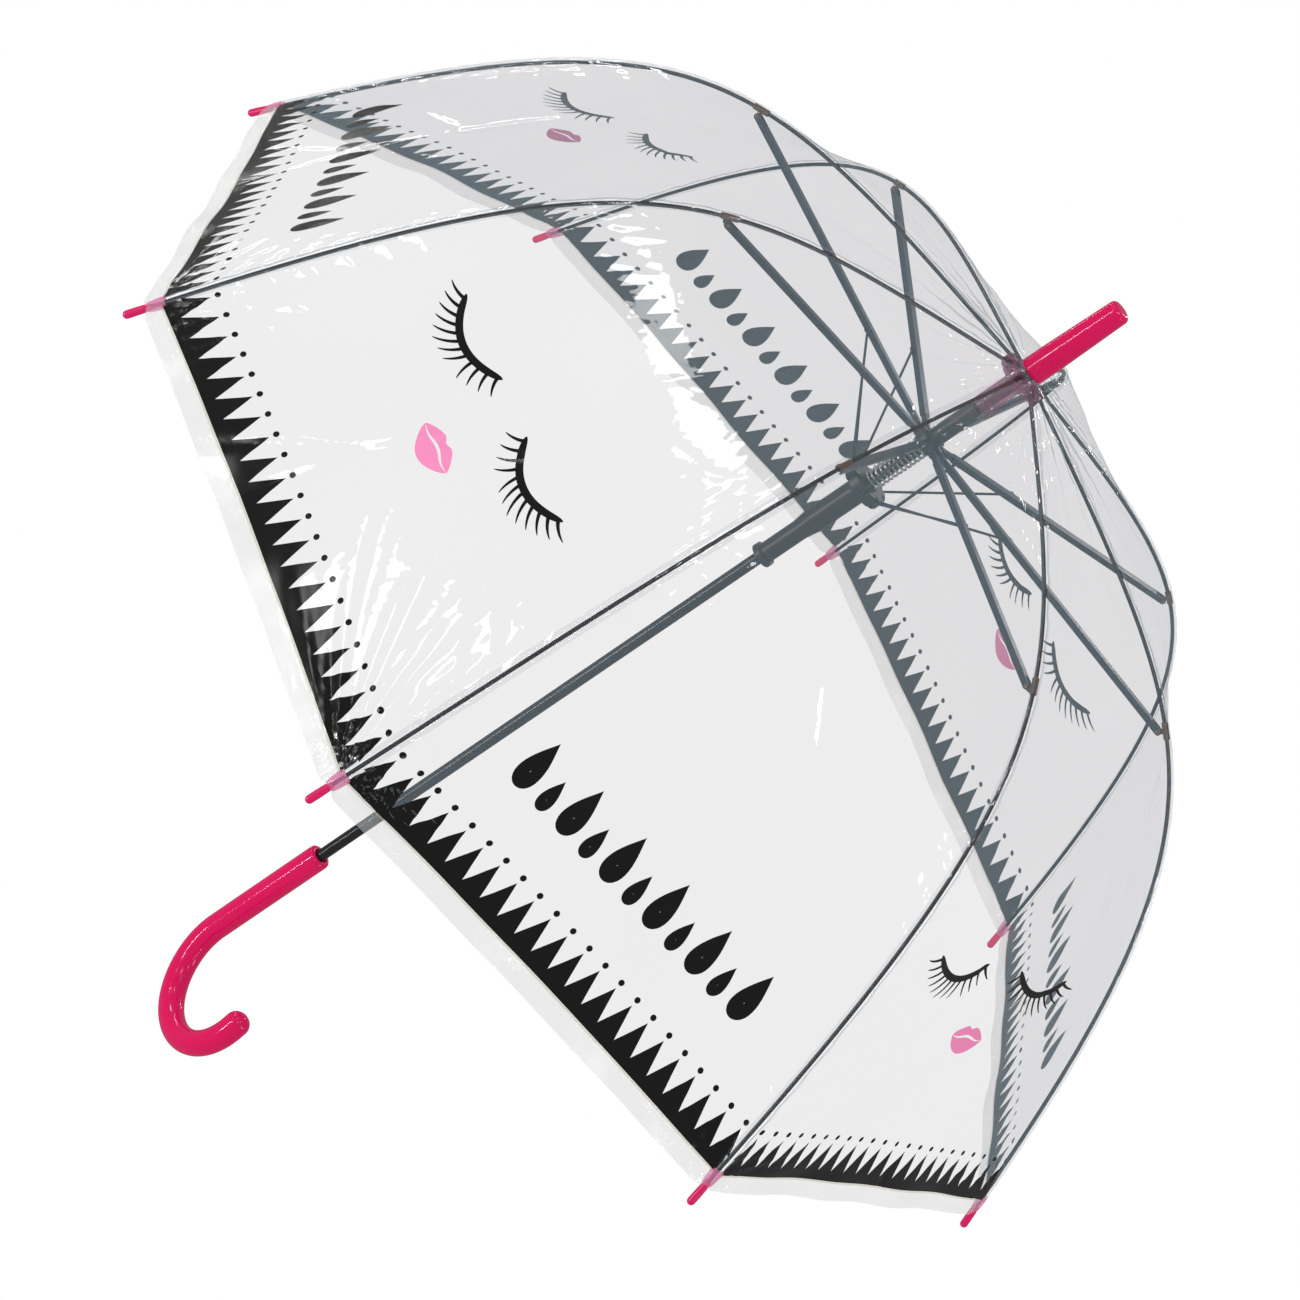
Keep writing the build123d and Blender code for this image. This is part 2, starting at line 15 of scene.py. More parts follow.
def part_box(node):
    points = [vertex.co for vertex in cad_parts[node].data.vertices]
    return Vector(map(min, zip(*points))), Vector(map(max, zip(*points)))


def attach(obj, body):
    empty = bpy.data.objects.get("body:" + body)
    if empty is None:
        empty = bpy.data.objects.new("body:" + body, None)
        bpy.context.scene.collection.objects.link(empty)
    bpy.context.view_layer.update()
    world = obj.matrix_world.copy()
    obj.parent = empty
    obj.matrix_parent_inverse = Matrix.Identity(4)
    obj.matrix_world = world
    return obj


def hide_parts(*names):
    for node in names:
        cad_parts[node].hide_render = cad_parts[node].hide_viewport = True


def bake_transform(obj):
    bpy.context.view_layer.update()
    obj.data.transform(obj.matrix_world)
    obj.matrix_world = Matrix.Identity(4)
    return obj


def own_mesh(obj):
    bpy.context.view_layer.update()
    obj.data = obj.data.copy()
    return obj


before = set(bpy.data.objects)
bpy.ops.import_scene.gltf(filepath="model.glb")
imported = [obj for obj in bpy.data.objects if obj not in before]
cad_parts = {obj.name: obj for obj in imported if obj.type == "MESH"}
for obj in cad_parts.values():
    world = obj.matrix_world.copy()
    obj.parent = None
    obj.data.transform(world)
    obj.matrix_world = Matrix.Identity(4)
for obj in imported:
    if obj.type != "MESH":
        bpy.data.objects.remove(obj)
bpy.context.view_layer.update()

# %% [markdown]
# ## The studio
# The real umbrella hangs in front of a white sweep, lit evenly, with a few narrow lamps that draw
# thin bright lines on everything glossy. A single white room would wash the pink out, because a
# glossy surface mirrors the room. So the room is white to the eye and as soft light, and only a
# fifth as bright where something mirrors it. The floor is far below, so no shadow comes near the object.

# %% A helper for nodes
def add(tree, kind, inputs=None, **settings):
    """Add one node. inputs are its sockets by name or number: a value, or a socket to link."""
    made = tree.nodes.new(kind)
    for key, value in settings.items():
        setattr(made, key, value)
    for key, value in (inputs or {}).items():
        if isinstance(value, bpy.types.NodeSocket):
            tree.links.new(value, made.inputs[key])
        else:
            made.inputs[key].default_value = value
    return made


def out(tree, kind, inputs=None, **settings):
    """Add one node, and give its first output."""
    return add(tree, kind, inputs, **settings).outputs[0]


def sums(tree, operation, *values):
    """One Math node, and its result."""
    return out(tree, "ShaderNodeMath", dict(enumerate(values)), operation=operation)


scene = bpy.context.scene
scene.view_settings.view_transform = "Standard"

# %% The white room
room = bpy.data.worlds.new("white_room")
room.use_nodes = True
scene.world = room
room_nodes = room.node_tree
ray = add(room_nodes, "ShaderNodeLightPath")
SOFT_LIGHT, MIRRORED_LIGHT = 0.92, 0.20
mirrored = sums(room_nodes, "MULTIPLY", ray.outputs["Is Glossy Ray"], MIRRORED_LIGHT - SOFT_LIGHT)
seen = sums(room_nodes, "MULTIPLY", ray.outputs["Is Camera Ray"], 1.0 - SOFT_LIGHT)
brightness = sums(room_nodes, "ADD", sums(room_nodes, "ADD", SOFT_LIGHT, mirrored), seen)
backdrop = room_nodes.nodes["Background"]
backdrop.inputs["Color"].default_value = (1, 1, 1, 1)
room_nodes.links.new(brightness, backdrop.inputs["Strength"])
print("white room: soft light", SOFT_LIGHT, "mirrored", MIRRORED_LIGHT)

# %% The floor
FLOOR_Z, FLOOR_SIZE = -1.1, 60.0
floor_paint = bpy.data.materials.new("floor_paint")
floor_paint.use_nodes = True
paint = floor_paint.node_tree
paint.nodes.clear()
matt = add(paint, "ShaderNodeBsdfDiffuse", {"Color": (0.9, 0.9, 0.9, 1)})
lit = add(paint, "ShaderNodeEmission", {"Color": (1, 1, 1, 1), "Strength": 1.0})
sight = add(paint, "ShaderNodeLightPath")
mixed = add(paint, "ShaderNodeMixShader",
            {0: sight.outputs["Is Camera Ray"], 1: matt.outputs[0], 2: lit.outputs[0]})
add(paint, "ShaderNodeOutputMaterial", {"Surface": mixed.outputs[0]})

half_floor = FLOOR_SIZE / 2
floor_mesh = bpy.data.meshes.new("floor")
floor_mesh.from_pydata(
    [(x, y, FLOOR_Z) for x, y in ((-half_floor, -half_floor), (half_floor, -half_floor),
                                  (half_floor, half_floor), (-half_floor, half_floor))],
    [], [(0, 1, 2, 3)],
)
floor_mesh.materials.append(floor_paint)
floor = bpy.data.objects.new("floor", floor_mesh)
scene.collection.objects.link(floor)
floor.visible_glossy = False
print("floor at", FLOOR_Z)

# %% [markdown]
# ## The camera
# A long lens stands off to the right of the crook, a little above the dome's middle, and is rolled
# well over, so that the shaft runs across the picture from the low left to the high right.

# %% Camera
AIM = Vector((0.0064, 0.0073, 0.3297))
AZIMUTH, ELEVATION, DISTANCE = math.radians(-41.383), math.radians(23.435), 2.4248
camera_place = AIM + DISTANCE * Vector((
    math.cos(ELEVATION) * math.cos(AZIMUTH), math.cos(ELEVATION) * math.sin(AZIMUTH), math.sin(ELEVATION),
))
sight_line = (AIM - camera_place).normalized()
camera_up = Vector((-0.71460, -0.47335, 0.51506))
camera_right = sight_line.cross(camera_up).normalized()
camera_up = camera_right.cross(sight_line)
lens = bpy.data.cameras.new("camera")
lens.lens, lens.sensor_width = 105.39, 36.0
camera = bpy.data.objects.new("camera", lens)
turn = Matrix((camera_right, camera_up, -sight_line)).transposed()
camera.matrix_world = Matrix.Translation(camera_place) @ turn.to_4x4()
scene.collection.objects.link(camera)
scene.camera = camera
print("camera at", [round(x, 3) for x in camera_place])

# %% The lamps
def lamp(name, place, size, power):
    """A rectangular lamp, turned to the object."""
    lamp = bpy.data.lights.new(name, "AREA")
    lamp.shape, lamp.size, lamp.size_y, lamp.energy = "RECTANGLE", size[0], size[1], power
    made = bpy.data.objects.new(name, lamp)
    place = Vector(place)
    facing = (AIM - place).to_track_quat("-Z", "Y")
    made.matrix_world = Matrix.Translation(place) @ facing.to_matrix().to_4x4()
    made.visible_camera = False
    scene.collection.objects.link(made)


STRIPS = {  # narrow lamps, for thin bright lines on round glossy things
    "grip": ((0.32, -2.0, -0.35), (0.07, 1.4), 15.0),
    "left": ((-0.9, -2.3, 1.1), (0.03, 1.1), 3.0),
    "right": ((2.4, 0.9, 0.9), (0.03, 1.2), 3.2),
    "top": ((0.9, -0.5, 2.9), (0.03, 1.2), 3.2),
    "behind": ((-1.6, 1.6, 1.6), (0.04, 1.4), 4.0),
    "far_left": ((-2.2, -0.6, 0.6), (0.03, 1.2), 3.2),
}
BOXES = {  # broad lamps, which the flanks of the film's wrinkles catch
    "front": ((0.12, -2.40, 0.95), (0.20, 0.34), 1.1),
    "over": ((1.2, -1.4, 2.3), (0.45, 0.30), 4.2),
    "near_left": ((-1.7, -1.4, 1.0), (0.40, 0.30), 3.6),
    "near_right": ((1.6, 1.6, 1.2), (0.40, 0.30), 3.6),
    "high_left": ((-0.55, -1.45, 2.3), (0.30, 0.40), 2.2),
    "high_right": ((1.75, 0.5, 2.0), (0.30, 0.22), 2.0),
}
for label, (place, size, power) in {**STRIPS, **BOXES}.items():
    lamp(f"lamp_{label}", place, size, power)
print("lamps:", len(STRIPS), "strips,", len(BOXES), "boxes")

# %% [markdown]
# ## The canopy's shape
# Each gore is cut from flat film and welded to its neighbours along two ribs. Under tension it can
# curve only one way, so it runs straight across from rib to rib, and follows the rib's curve from
# crown to rim with its radii shortened. One formula gives any point on it from two lengths: how
# far across from the gore's middle, and how far along from the crown. Everything on the film
# (prints, hem, seams) uses the same formula, so it all fits.

# %% The middle line of a gore
RIBS = 8
PITCH = math.tau / RIBS
HALF = PITCH / 2
CROWN, RIM = (0.013, 0.636), (0.415, 0.318)
CROWN_SLOPE, CROWN_REACH = math.radians(8.5), 0.232
RIM_LEAN, RIM_REACH = math.radians(22.8), 0.310
JOINT_SHARE = 0.42
HEM = 0.012
OVER_CROWN = 0.0037
FILM_LIFT = 0.00185

rib_controls = np.array([
    CROWN,
    (CROWN[0] + CROWN_REACH * math.cos(CROWN_SLOPE), CROWN[1] - CROWN_REACH * math.sin(CROWN_SLOPE)),
    (RIM[0] - RIM_REACH * math.sin(RIM_LEAN), RIM[1] + RIM_REACH * math.cos(RIM_LEAN)),
    RIM,
])


def on_curve(points, share):
    share = np.asarray(share, float)[..., None]
    rest = 1 - share
    return (rest**3 * points[0] + 3 * rest**2 * share * points[1]
            + 3 * rest * share**2 * points[2] + share**3 * points[3])


def out_of_curve(points, share):
    """The direction square to the curve, on its outer side."""
    share = np.asarray(share, float)[..., None]
    rest = 1 - share
    way = (rest**2 * (points[1] - points[0]) + 2 * rest * share * (points[2] - points[1])
           + share**2 * (points[3] - points[2]))
    way /= np.linalg.norm(way, axis=-1, keepdims=True)
    return np.stack([-way[..., 1], way[..., 0]], -1)


shares = np.linspace(-OVER_CROWN / (3 * CROWN_REACH), 1 + HEM / (3 * RIM_REACH), 1500)
middle_controls = rib_controls * (math.cos(HALF), 1)
middle_out = out_of_curve(middle_controls, shares)
middle_line = on_curve(middle_controls, shares) + FILM_LIFT * middle_out
lengths = np.concatenate([[0], np.cumsum(np.linalg.norm(np.diff(middle_line, axis=0), axis=1))])
lengths -= np.interp(0, shares, lengths)
INNER_ALONG = float(lengths[0])
JOINT_ALONG = float(np.interp(JOINT_SHARE, shares, lengths))
RIM_ALONG = float(np.interp(1, shares, lengths))
HEM_ALONG = float(lengths[-1])
print(f"gore: {RIM_ALONG:.4f} m from crown to rim, stretcher joints at {JOINT_ALONG:.4f} m")


# %% Any point on a gore
def half_width(along):
    return np.interp(along, lengths, middle_line[:, 0]) * math.tan(HALF)


def gore_angle(gore):
    return (gore - 0.5) * PITCH


def gore_axes(gore):
    """The gore's outward and sideways directions, level."""
    angle = gore_angle(gore)
    return (np.array([math.cos(angle), math.sin(angle), 0]),
            np.array([-math.sin(angle), math.cos(angle), 0]))


def gore_out(gore, along):
    outward, _ = gore_axes(gore)
    flat = np.interp(along, lengths, middle_out[:, 0])
    tall = np.interp(along, lengths, middle_out[:, 1])
    return flat[..., None] * outward + tall[..., None] * np.array([0, 0, 1])


def smooth_plane(gore, across, along):
    outward, sideways = gore_axes(gore)
    radius = np.interp(along, lengths, middle_line[:, 0])
    height = np.interp(along, lengths, middle_line[:, 1])
    return (radius[..., None] * outward + across[..., None] * sideways
            + height[..., None] * np.array([0, 0, 1]))


# %% [markdown]
# ## The film's wrinkles
# Soft vinyl film is never flat. It is gathered under the ferrule, so fine folds run out from the
# crown. It puckers along the welded seams, pulls in fans from the tips, and has broad soft dents
# where it was folded in its packet. Each kind is a simple wave whose height fades with distance
# from its cause, and all of them fade to nothing at the ribs, so that neighbouring gores meet.
# A cloth simulation would give folds of one kind only, and not where the real ones are.

# %% Wrinkles
random = np.random.default_rng(8)
gore_phases = random.uniform(0, math.tau, (RIBS + 1, 16))
corner_pull = random.uniform(0.6, 1.2, RIBS + 1)
corner_pull[8] = 3.2
# the height of each kind of wrinkle
SAG, CROWN_FOLD, LONG_FOLD, LOOSE_HEM = 0.0045, 0.0013, 0.0006, 0.0012
PULL, PUCKER, FINE_PUCKER = 0.00032, 0.0006, 0.0003
DENT, CREASE, FAN = 0.0013, 0.0007, 0.0005
CREASE_HALF = 0.0028


def fade(value, reach):
    return np.exp(-np.maximum(value, 0) / reach)


def relief(gore, across, along):
    """Height of the film above its smooth plane."""
    phase = gore_phases[gore]
    width = np.maximum(half_width(along), 1e-4)
    share = np.clip(across / width, -1, 1)
    taut = 1 - share**2
    seam = np.maximum(width - np.abs(across), 0)
    held = np.clip(seam / 0.006, 0, 1)
    sag = -SAG * taut * np.sin(math.pi * np.clip(along / HEM_ALONG, 0, 1)) ** 1.5
    bent = share + 0.05 * np.sin(along * 60 + phase[0])
    gathered = np.sin(11 * bent + phase[1]) + 0.6 * np.sin(19 * bent + phase[2] + 14 * along)
    gathered += 0.35 * np.sin(31 * bent + phase[3] - 20 * along)
    crown_folds = CROWN_FOLD * gathered * fade(along, 0.075) * np.clip(along / 0.04, 0, 1)
    long_folds = LONG_FOLD * np.sin(6.5 * bent + phase[4]) * fade(along, 0.22) * np.clip(along / 0.05, 0, 1)
    pulls = PULL * np.sin(math.tau * (seam / 0.0085 + 0.35 * np.sin(along * 12 + phase[13])))
    pulls = pulls * fade(seam, 0.022) * (0.5 + 0.5 * np.sin(along * 26 + phase[12]))
    ripple = along / 0.0125 + 0.8 * np.sin(along * 21 + phase[5]) + np.sign(across) * phase[6]
    puckers = PUCKER * np.sin(math.tau * ripple * 0.5 + seam * 150) * fade(seam, 0.024)
    puckers += FINE_PUCKER * np.sin(math.tau * ripple + seam * 240) * fade(seam, 0.012)
    dents = DENT * np.sin(across * 23 + phase[7] + 1.7 * np.sin(along * 13 + phase[8]))
    dents = dents * np.sin(along * 17 + phase[9] + 1.3 * np.sin(across * 19 + phase[10]))
    creases = 0.0
    for crease in range(3):
        angle = phase[11 + crease]
        line = across * math.cos(angle) + (along - 0.36) * math.sin(angle) - 0.03 * (crease - 1)
        depth = np.exp(-(line / CREASE_HALF) ** 2) * (0.4 + 0.6 * np.sin(along * 31 + crease) ** 2)
        creases = creases - CREASE * depth
    fans = 0.0
    for side in (1, -1):
        rib = gore % RIBS + 1 if side > 0 else gore
        reach_in, reach_up = half_width(RIM_ALONG) - side * across, RIM_ALONG + 0.004 - along
        away = np.hypot(reach_in, reach_up)
        bearing = np.arctan2(reach_in, np.maximum(reach_up, 1e-4))
        wave = np.sin(26 * bearing + phase[14]) + 0.6 * np.sin(47 * bearing + phase[15] + away * 40)
        fans = fans + FAN * corner_pull[rib] * wave * fade(away, 0.06) * np.clip(away / 0.02, 0, 1)
    past_print = np.clip((along - RIM_ALONG + 0.02) / 0.03, 0, 1)
    loose_hem = LOOSE_HEM * np.sin(across * 75 + phase[12]) * past_print * taut
    pinned = crown_folds + long_folds + puckers + pulls + dents * taut + creases * taut + fans
    return sag + held * pinned + loose_hem


def film_point(gore, across, along, above=0.0):
    """A point on the wrinkled film, or a little above it."""
    across, along = np.broadcast_arrays(np.asarray(across, float), np.asarray(along, float))
    rise = relief(gore, across, along) + above
    return smooth_plane(gore, across, along) + rise[..., None] * gore_out(gore, along)


HEM_BOW, CORNER_CUT, CORNER_REACH = 0.0012, 0.003, 0.007


def along_end(across):
    """The hem's edge: nearly straight, cut back at the corners where it goes into the tips."""
    share = np.clip(across / half_width(RIM_ALONG), -1, 1)
    corner = np.clip((np.abs(across) - half_width(RIM_ALONG) + CORNER_REACH) / CORNER_REACH, 0, 1.2)
    return HEM_ALONG - HEM_BOW * (1 - share**2) - CORNER_CUT * corner**1.6


sample = relief(7, np.linspace(-0.1, 0.1, 200)[:, None], np.linspace(0.1, 0.5, 300))
print(f"largest wrinkle on gore 7: {np.ptp(sample) * 1000:.1f} mm")

# %% [markdown]
# ## The film's finish
# Clear vinyl does three things to light: most of it goes straight through, a little is scattered
# as a milky haze, and the surface mirrors the lamps sharply. A glass shader would bend light twice
# in a sheet this thin and turn slow and noisy, so each part has its own shader: Transparent, a
# diffuse and translucent pair for the haze, and Glossy, mixed by the angle of view. Seen at a
# glancing angle the film is thicker to the eye, so it turns milkier there.

# %% Film, hem and seam finishes
def bare_material(name):
    made = bpy.data.materials.new(name)
    made.use_nodes = True
    made.node_tree.nodes.clear()
    return made, made.node_tree


def surface_noise(tree, scale, detail=2.0):
    place = add(tree, "ShaderNodeTexCoord")
    return add(tree, "ShaderNodeTexNoise",
               {"Vector": place.outputs["Object"], "Scale": scale, "Detail": detail})


def blended(tree, share, first, second):
    """A colour between two, by share. The Mix node's colour sockets are numbers 6 and 7."""
    return add(tree, "ShaderNodeMix", {0: share, 6: first, 7: second}, data_type="RGBA").outputs[2]


def clear_film(name, haze, haze_colour, tint, bump_scale, bump_depth, gloss=0.05, hatch=0.0, edge_line=False):
    """A thin clear sheet: see-through, milky by its haze, and mirror-bright at a glance."""
    made, tree = bare_material(name)
    uneven = surface_noise(tree, bump_scale)
    height = uneven.outputs["Fac"]
    if hatch:
        place = add(tree, "ShaderNodeTexCoord")
        turned_map = add(tree, "ShaderNodeMapping",
                         {"Vector": place.outputs["UV"], "Rotation": (0, 0, math.radians(45))})
        one = add(tree, "ShaderNodeTexWave", {"Vector": turned_map.outputs[0], "Scale": hatch},
                  bands_direction="X")
        two = add(tree, "ShaderNodeTexWave", {"Vector": turned_map.outputs[0], "Scale": hatch},
                  bands_direction="Y")
        height = sums(tree, "ADD", height, sums(tree, "MAXIMUM", one.outputs["Fac"], two.outputs["Fac"]))
    bump = add(tree, "ShaderNodeBump", {"Strength": 0.35, "Distance": bump_depth, "Height": height})
    matt = add(tree, "ShaderNodeBsdfDiffuse", {"Color": haze_colour, "Normal": bump.outputs[0]})
    through = add(tree, "ShaderNodeBsdfTranslucent", {"Color": haze_colour, "Normal": bump.outputs[0]})
    milk = add(tree, "ShaderNodeMixShader", {0: 0.5, 1: matt.outputs[0], 2: through.outputs[0]})
    clear = add(tree, "ShaderNodeBsdfTransparent", {"Color": tint})
    glance = add(tree, "ShaderNodeLayerWeight", {"Blend": 0.5, "Normal": bump.outputs[0]}).outputs["Facing"]
    patchy = surface_noise(tree, 9.0, 3.0).outputs["Fac"]
    thicker = sums(tree, "MULTIPLY", sums(tree, "POWER", glance, 3.0), 0.045)
    share = sums(tree, "ADD", sums(tree, "MULTIPLY", patchy, 0.5 * haze),
                 sums(tree, "ADD", 0.75 * haze, thicker))
    if edge_line:
        place = add(tree, "ShaderNodeTexCoord")
        height_on = add(tree, "ShaderNodeSeparateXYZ", {0: place.outputs["UV"]}).outputs["Y"]
        line = sums(tree, "LESS_THAN", height_on, 0.09)
        share = sums(tree, "ADD", share, sums(tree, "MULTIPLY", line, 0.45))
        aged = blended(tree, line, haze_colour, (0.62, 0.56, 0.42, 1))
        for shader in (matt, through):
            tree.links.new(aged, shader.inputs["Color"])
    body = add(tree, "ShaderNodeMixShader", {0: share, 1: clear.outputs[0], 2: milk.outputs[0]})
    shine = add(tree, "ShaderNodeBsdfGlossy",
                {"Color": (1, 1, 1, 1), "Roughness": gloss, "Normal": bump.outputs[0]})
    mirror = sums(tree, "ADD", 0.055, sums(tree, "MULTIPLY", sums(tree, "POWER", glance, 5.0), 0.12))
    whole = add(tree, "ShaderNodeMixShader", {0: mirror, 1: body.outputs[0], 2: shine.outputs[0]})
    add(tree, "ShaderNodeOutputMaterial", {"Surface": whole.outputs[0]})
    return made


film_finish = clear_film("clear_vinyl", 0.15, (0.37, 0.50, 0.58, 1), (0.985, 0.953, 0.946, 1), 70, 0.0006,
                         0.035)
hem_finish = clear_film("hem_vinyl", 0.11, (1.0, 1.0, 0.99, 1), (1.0, 1.0, 0.995, 1), 160, 0.0005, 0.12, 9.0,
                        True)
seam_finish = clear_film("seam_vinyl", 0.05, (0.60, 0.62, 0.65, 1), (0.93, 0.94, 0.95, 1), 120, 0.0004, 0.04)
print("finishes:", film_finish.name, hem_finish.name, seam_finish.name)


# %% Opaque finishes
def solid_finish(name, colour, roughness, metallic=0.0, grain=300.0, grain_depth=0.00005, vary=0.12,
                 coat=0.0, alpha=1.0):
    """Moulded, painted or bright metal: a base, a fine grain and an uneven gloss."""
    made = bpy.data.materials.new(name)
    made.use_nodes = True
    tree = made.node_tree
    base = tree.nodes["Principled BSDF"]
    base.inputs["Metallic"].default_value = metallic
    base.inputs["Coat Weight"].default_value = coat
    base.inputs["Coat Roughness"].default_value = 0.04
    base.inputs["Alpha"].default_value = alpha
    broad = surface_noise(tree, 28.0, 3.0)
    darker = tuple(c * (1 - vary) for c in colour)
    tree.links.new(blended(tree, broad.outputs["Fac"], (*darker, 1), (*colour, 1)), base.inputs["Base Color"])
    worn = add(tree, "ShaderNodeMapRange",
               {"Value": broad.outputs["Fac"], "To Min": roughness * 0.8, "To Max": roughness * 1.25})
    tree.links.new(worn.outputs["Result"], base.inputs["Roughness"])
    fine = surface_noise(tree, grain)
    bump = add(tree, "ShaderNodeBump",
               {"Strength": 0.25, "Distance": grain_depth, "Height": fine.outputs["Fac"]})
    tree.links.new(bump.outputs[0], base.inputs["Normal"])
    return made


pink_plastic = solid_finish("pink_plastic", (0.60, 0.0015, 0.085), 0.12)
tip_plastic = solid_finish("tip_plastic", (0.58, 0.006, 0.10), 0.2)
black_paint = solid_finish("black_paint", (0.012, 0.013, 0.015), 0.20)
dark_steel = solid_finish("dark_steel", (0.030, 0.044, 0.058), 0.30, metallic=0.3)
bright_steel = solid_finish("bright_steel", (0.78, 0.78, 0.80), 0.2, metallic=1.0)
black_plastic = solid_finish("black_plastic", (0.018, 0.018, 0.020), 0.34)
rivet_brass = solid_finish("rivet_brass", (0.20, 0.13, 0.09), 0.35, metallic=0.7)
ink = solid_finish("black_ink", (0.0042, 0.0040, 0.0036), 0.16, grain=600)
lip_ink = solid_finish("pink_ink", (0.78, 0.22, 0.43), 0.3, grain=600)
soft_pink = clear_film("soft_pink", 0.50, (0.86, 0.30, 0.52, 1), (0.98, 0.80, 0.90, 1), 200, 0.0003, 0.12)
crown_plastic = clear_film("crown_plastic", 0.50, (0.30, 0.10, 0.19, 1), (0.90, 0.78, 0.85, 1),
                           150, 0.0003, 0.10)
washer_clear = clear_film("washer_clear", 0.12, (0.7, 0.72, 0.75, 1), (0.92, 0.94, 0.96, 1),
                          150, 0.0004, 0.03)
print("opaque finishes: pink, black, steel, ink")

# %% [markdown]
# ## Making meshes
# A sheet is a grid of points, four corners to a face, with a UV map in metres: U is the distance
# across the gore plus half a metre, V the distance along it. Prints can then be drawn flat in
# metres and laid on the film through that map.

# %% Grid sheets
def new_piece(name, mesh, finish):
    mesh.materials.clear()
    mesh.materials.append(finish)
    made = bpy.data.objects.new(name, mesh)
    scene.collection.objects.link(made)
    return made


def grid_sheet(name, points, across, along, finish):
    """Rows of points run from the crown to the rim; the columns run sideways."""
    rows, columns = points.shape[:2]
    number = np.arange(rows * columns).reshape(rows, columns)
    quads = np.stack([number[:-1, :-1], number[1:, :-1], number[1:, 1:], number[:-1, 1:]], -1).reshape(-1, 4)
    mesh = bpy.data.meshes.new(name)
    mesh.from_pydata(points.reshape(-1, 3).tolist(), [], quads.tolist())
    metres = np.stack([across + 0.5, along], -1).reshape(-1, 2)
    mesh.uv_layers.new(name="UVMap").data.foreach_set("uv", metres[quads.ravel()].ravel())
    mesh.shade_smooth()
    return new_piece(name, mesh, finish)


def column_shares(count):
    """Closer columns beside the seams, where the puckers are."""
    even = np.linspace(-1, 1, count)
    return even * 0.75 + 0.25 * np.sin(even * math.pi / 2)


def follow_closing(piece, gore, body):
    """Ride a gore's body, with a mesh of its own."""
    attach(piece, f"{body}_{gore}")
    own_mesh(piece)


FILM_TO_RIB = 0.0018


def film_half_width(along):
    """The film stops just short of the rib, under the seam, so that the rib shows dark."""
    return np.maximum(half_width(along) - FILM_TO_RIB, 0.55 * half_width(along))


# %% The film's sixteen panels
upper_films, lower_films = {}, {}
for gore in range(1, RIBS + 1):
    columns = column_shares(131)
    along = np.linspace(INNER_ALONG, JOINT_ALONG, 98)[:, None] + 0 * columns
    across = columns * film_half_width(along)
    piece = grid_sheet(f"film_top_{gore}", film_point(gore, across, along), across, along, film_finish)
    upper_films[gore] = piece

    start = JOINT_ALONG
    across = columns * half_width(np.full_like(columns, RIM_ALONG))
    reach = along_end(across)
    along = start + np.linspace(0, 1, 141)[:, None] * (reach - start)
    across = columns * film_half_width(along)
    piece = grid_sheet(f"film_skirt_{gore}", film_point(gore, across, along), across, along, film_finish)
    lower_films[gore] = piece
print("film panels:", len(upper_films) + len(lower_films), "faces each:",
      len(upper_films[1].data.polygons), len(lower_films[1].data.polygons))

# %% [markdown]
# ## A tree that lays a print on the film
# The real prints are screen-printed on the flat vinyl before the gores are cut and welded. Here a
# print is also drawn flat. The tree looks each of its points up in the film's UV map with Sample
# UV Surface, moves it there, and lifts it a fifth of a millimetre along the film's normal. It
# follows every wrinkle, and stays sharp at any distance, which a painted texture would not.

# %% Geometry node helpers
KINDS = {"Film": "NodeSocketObject", "Finish": "NodeSocketMaterial", "Teeth": "NodeSocketInt",
         "Sides": "NodeSocketInt", "Turns": "NodeSocketFloat", "Fine": "NodeSocketInt"}


def new_tree(name, *inputs):
    """A tree with one geometry in and out, and named inputs for its sizes."""
    tree = bpy.data.node_groups.new(name, "GeometryNodeTree")
    tree.interface.new_socket(name="Geometry", in_out="INPUT", socket_type="NodeSocketGeometry")
    for label in inputs:
        tree.interface.new_socket(name=label, in_out="INPUT", socket_type=KINDS.get(label, "NodeSocketFloat"))
    tree.interface.new_socket(name="Geometry", in_out="OUTPUT", socket_type="NodeSocketGeometry")
    return tree, tree.nodes.new("NodeGroupInput").outputs


def finish_tree(tree, geometry, finish):
    real = add(tree, "GeometryNodeRealizeInstances", {0: geometry})
    smooth = add(tree, "GeometryNodeSetShadeSmooth", {"Geometry": real.outputs[0]})
    painted = add(tree, "GeometryNodeSetMaterial", {"Geometry": smooth.outputs[0], "Material": finish})
    add(tree, "NodeGroupOutput", {0: painted.outputs[0]})


def grown(name, tree, flat_mesh, slot, **values):
    """Run a tree on a mesh, and keep the result as a plain mesh with no modifier."""
    made = bpy.data.objects.new(name, flat_mesh)
    scene.collection.objects.link(made)
    modifier = made.modifiers.new("grow", "NODES")
    modifier.node_group = tree
    for item in tree.interface.items_tree:
        if item.in_out == "INPUT" and item.name in values:
            modifier[item.identifier] = values[item.name]
    graph = bpy.context.evaluated_depsgraph_get()
    mesh = bpy.data.meshes.new_from_object(made.evaluated_get(graph), depsgraph=graph)
    made.modifiers.clear()
    made.data = mesh
    bpy.data.meshes.remove(flat_mesh)
    return made


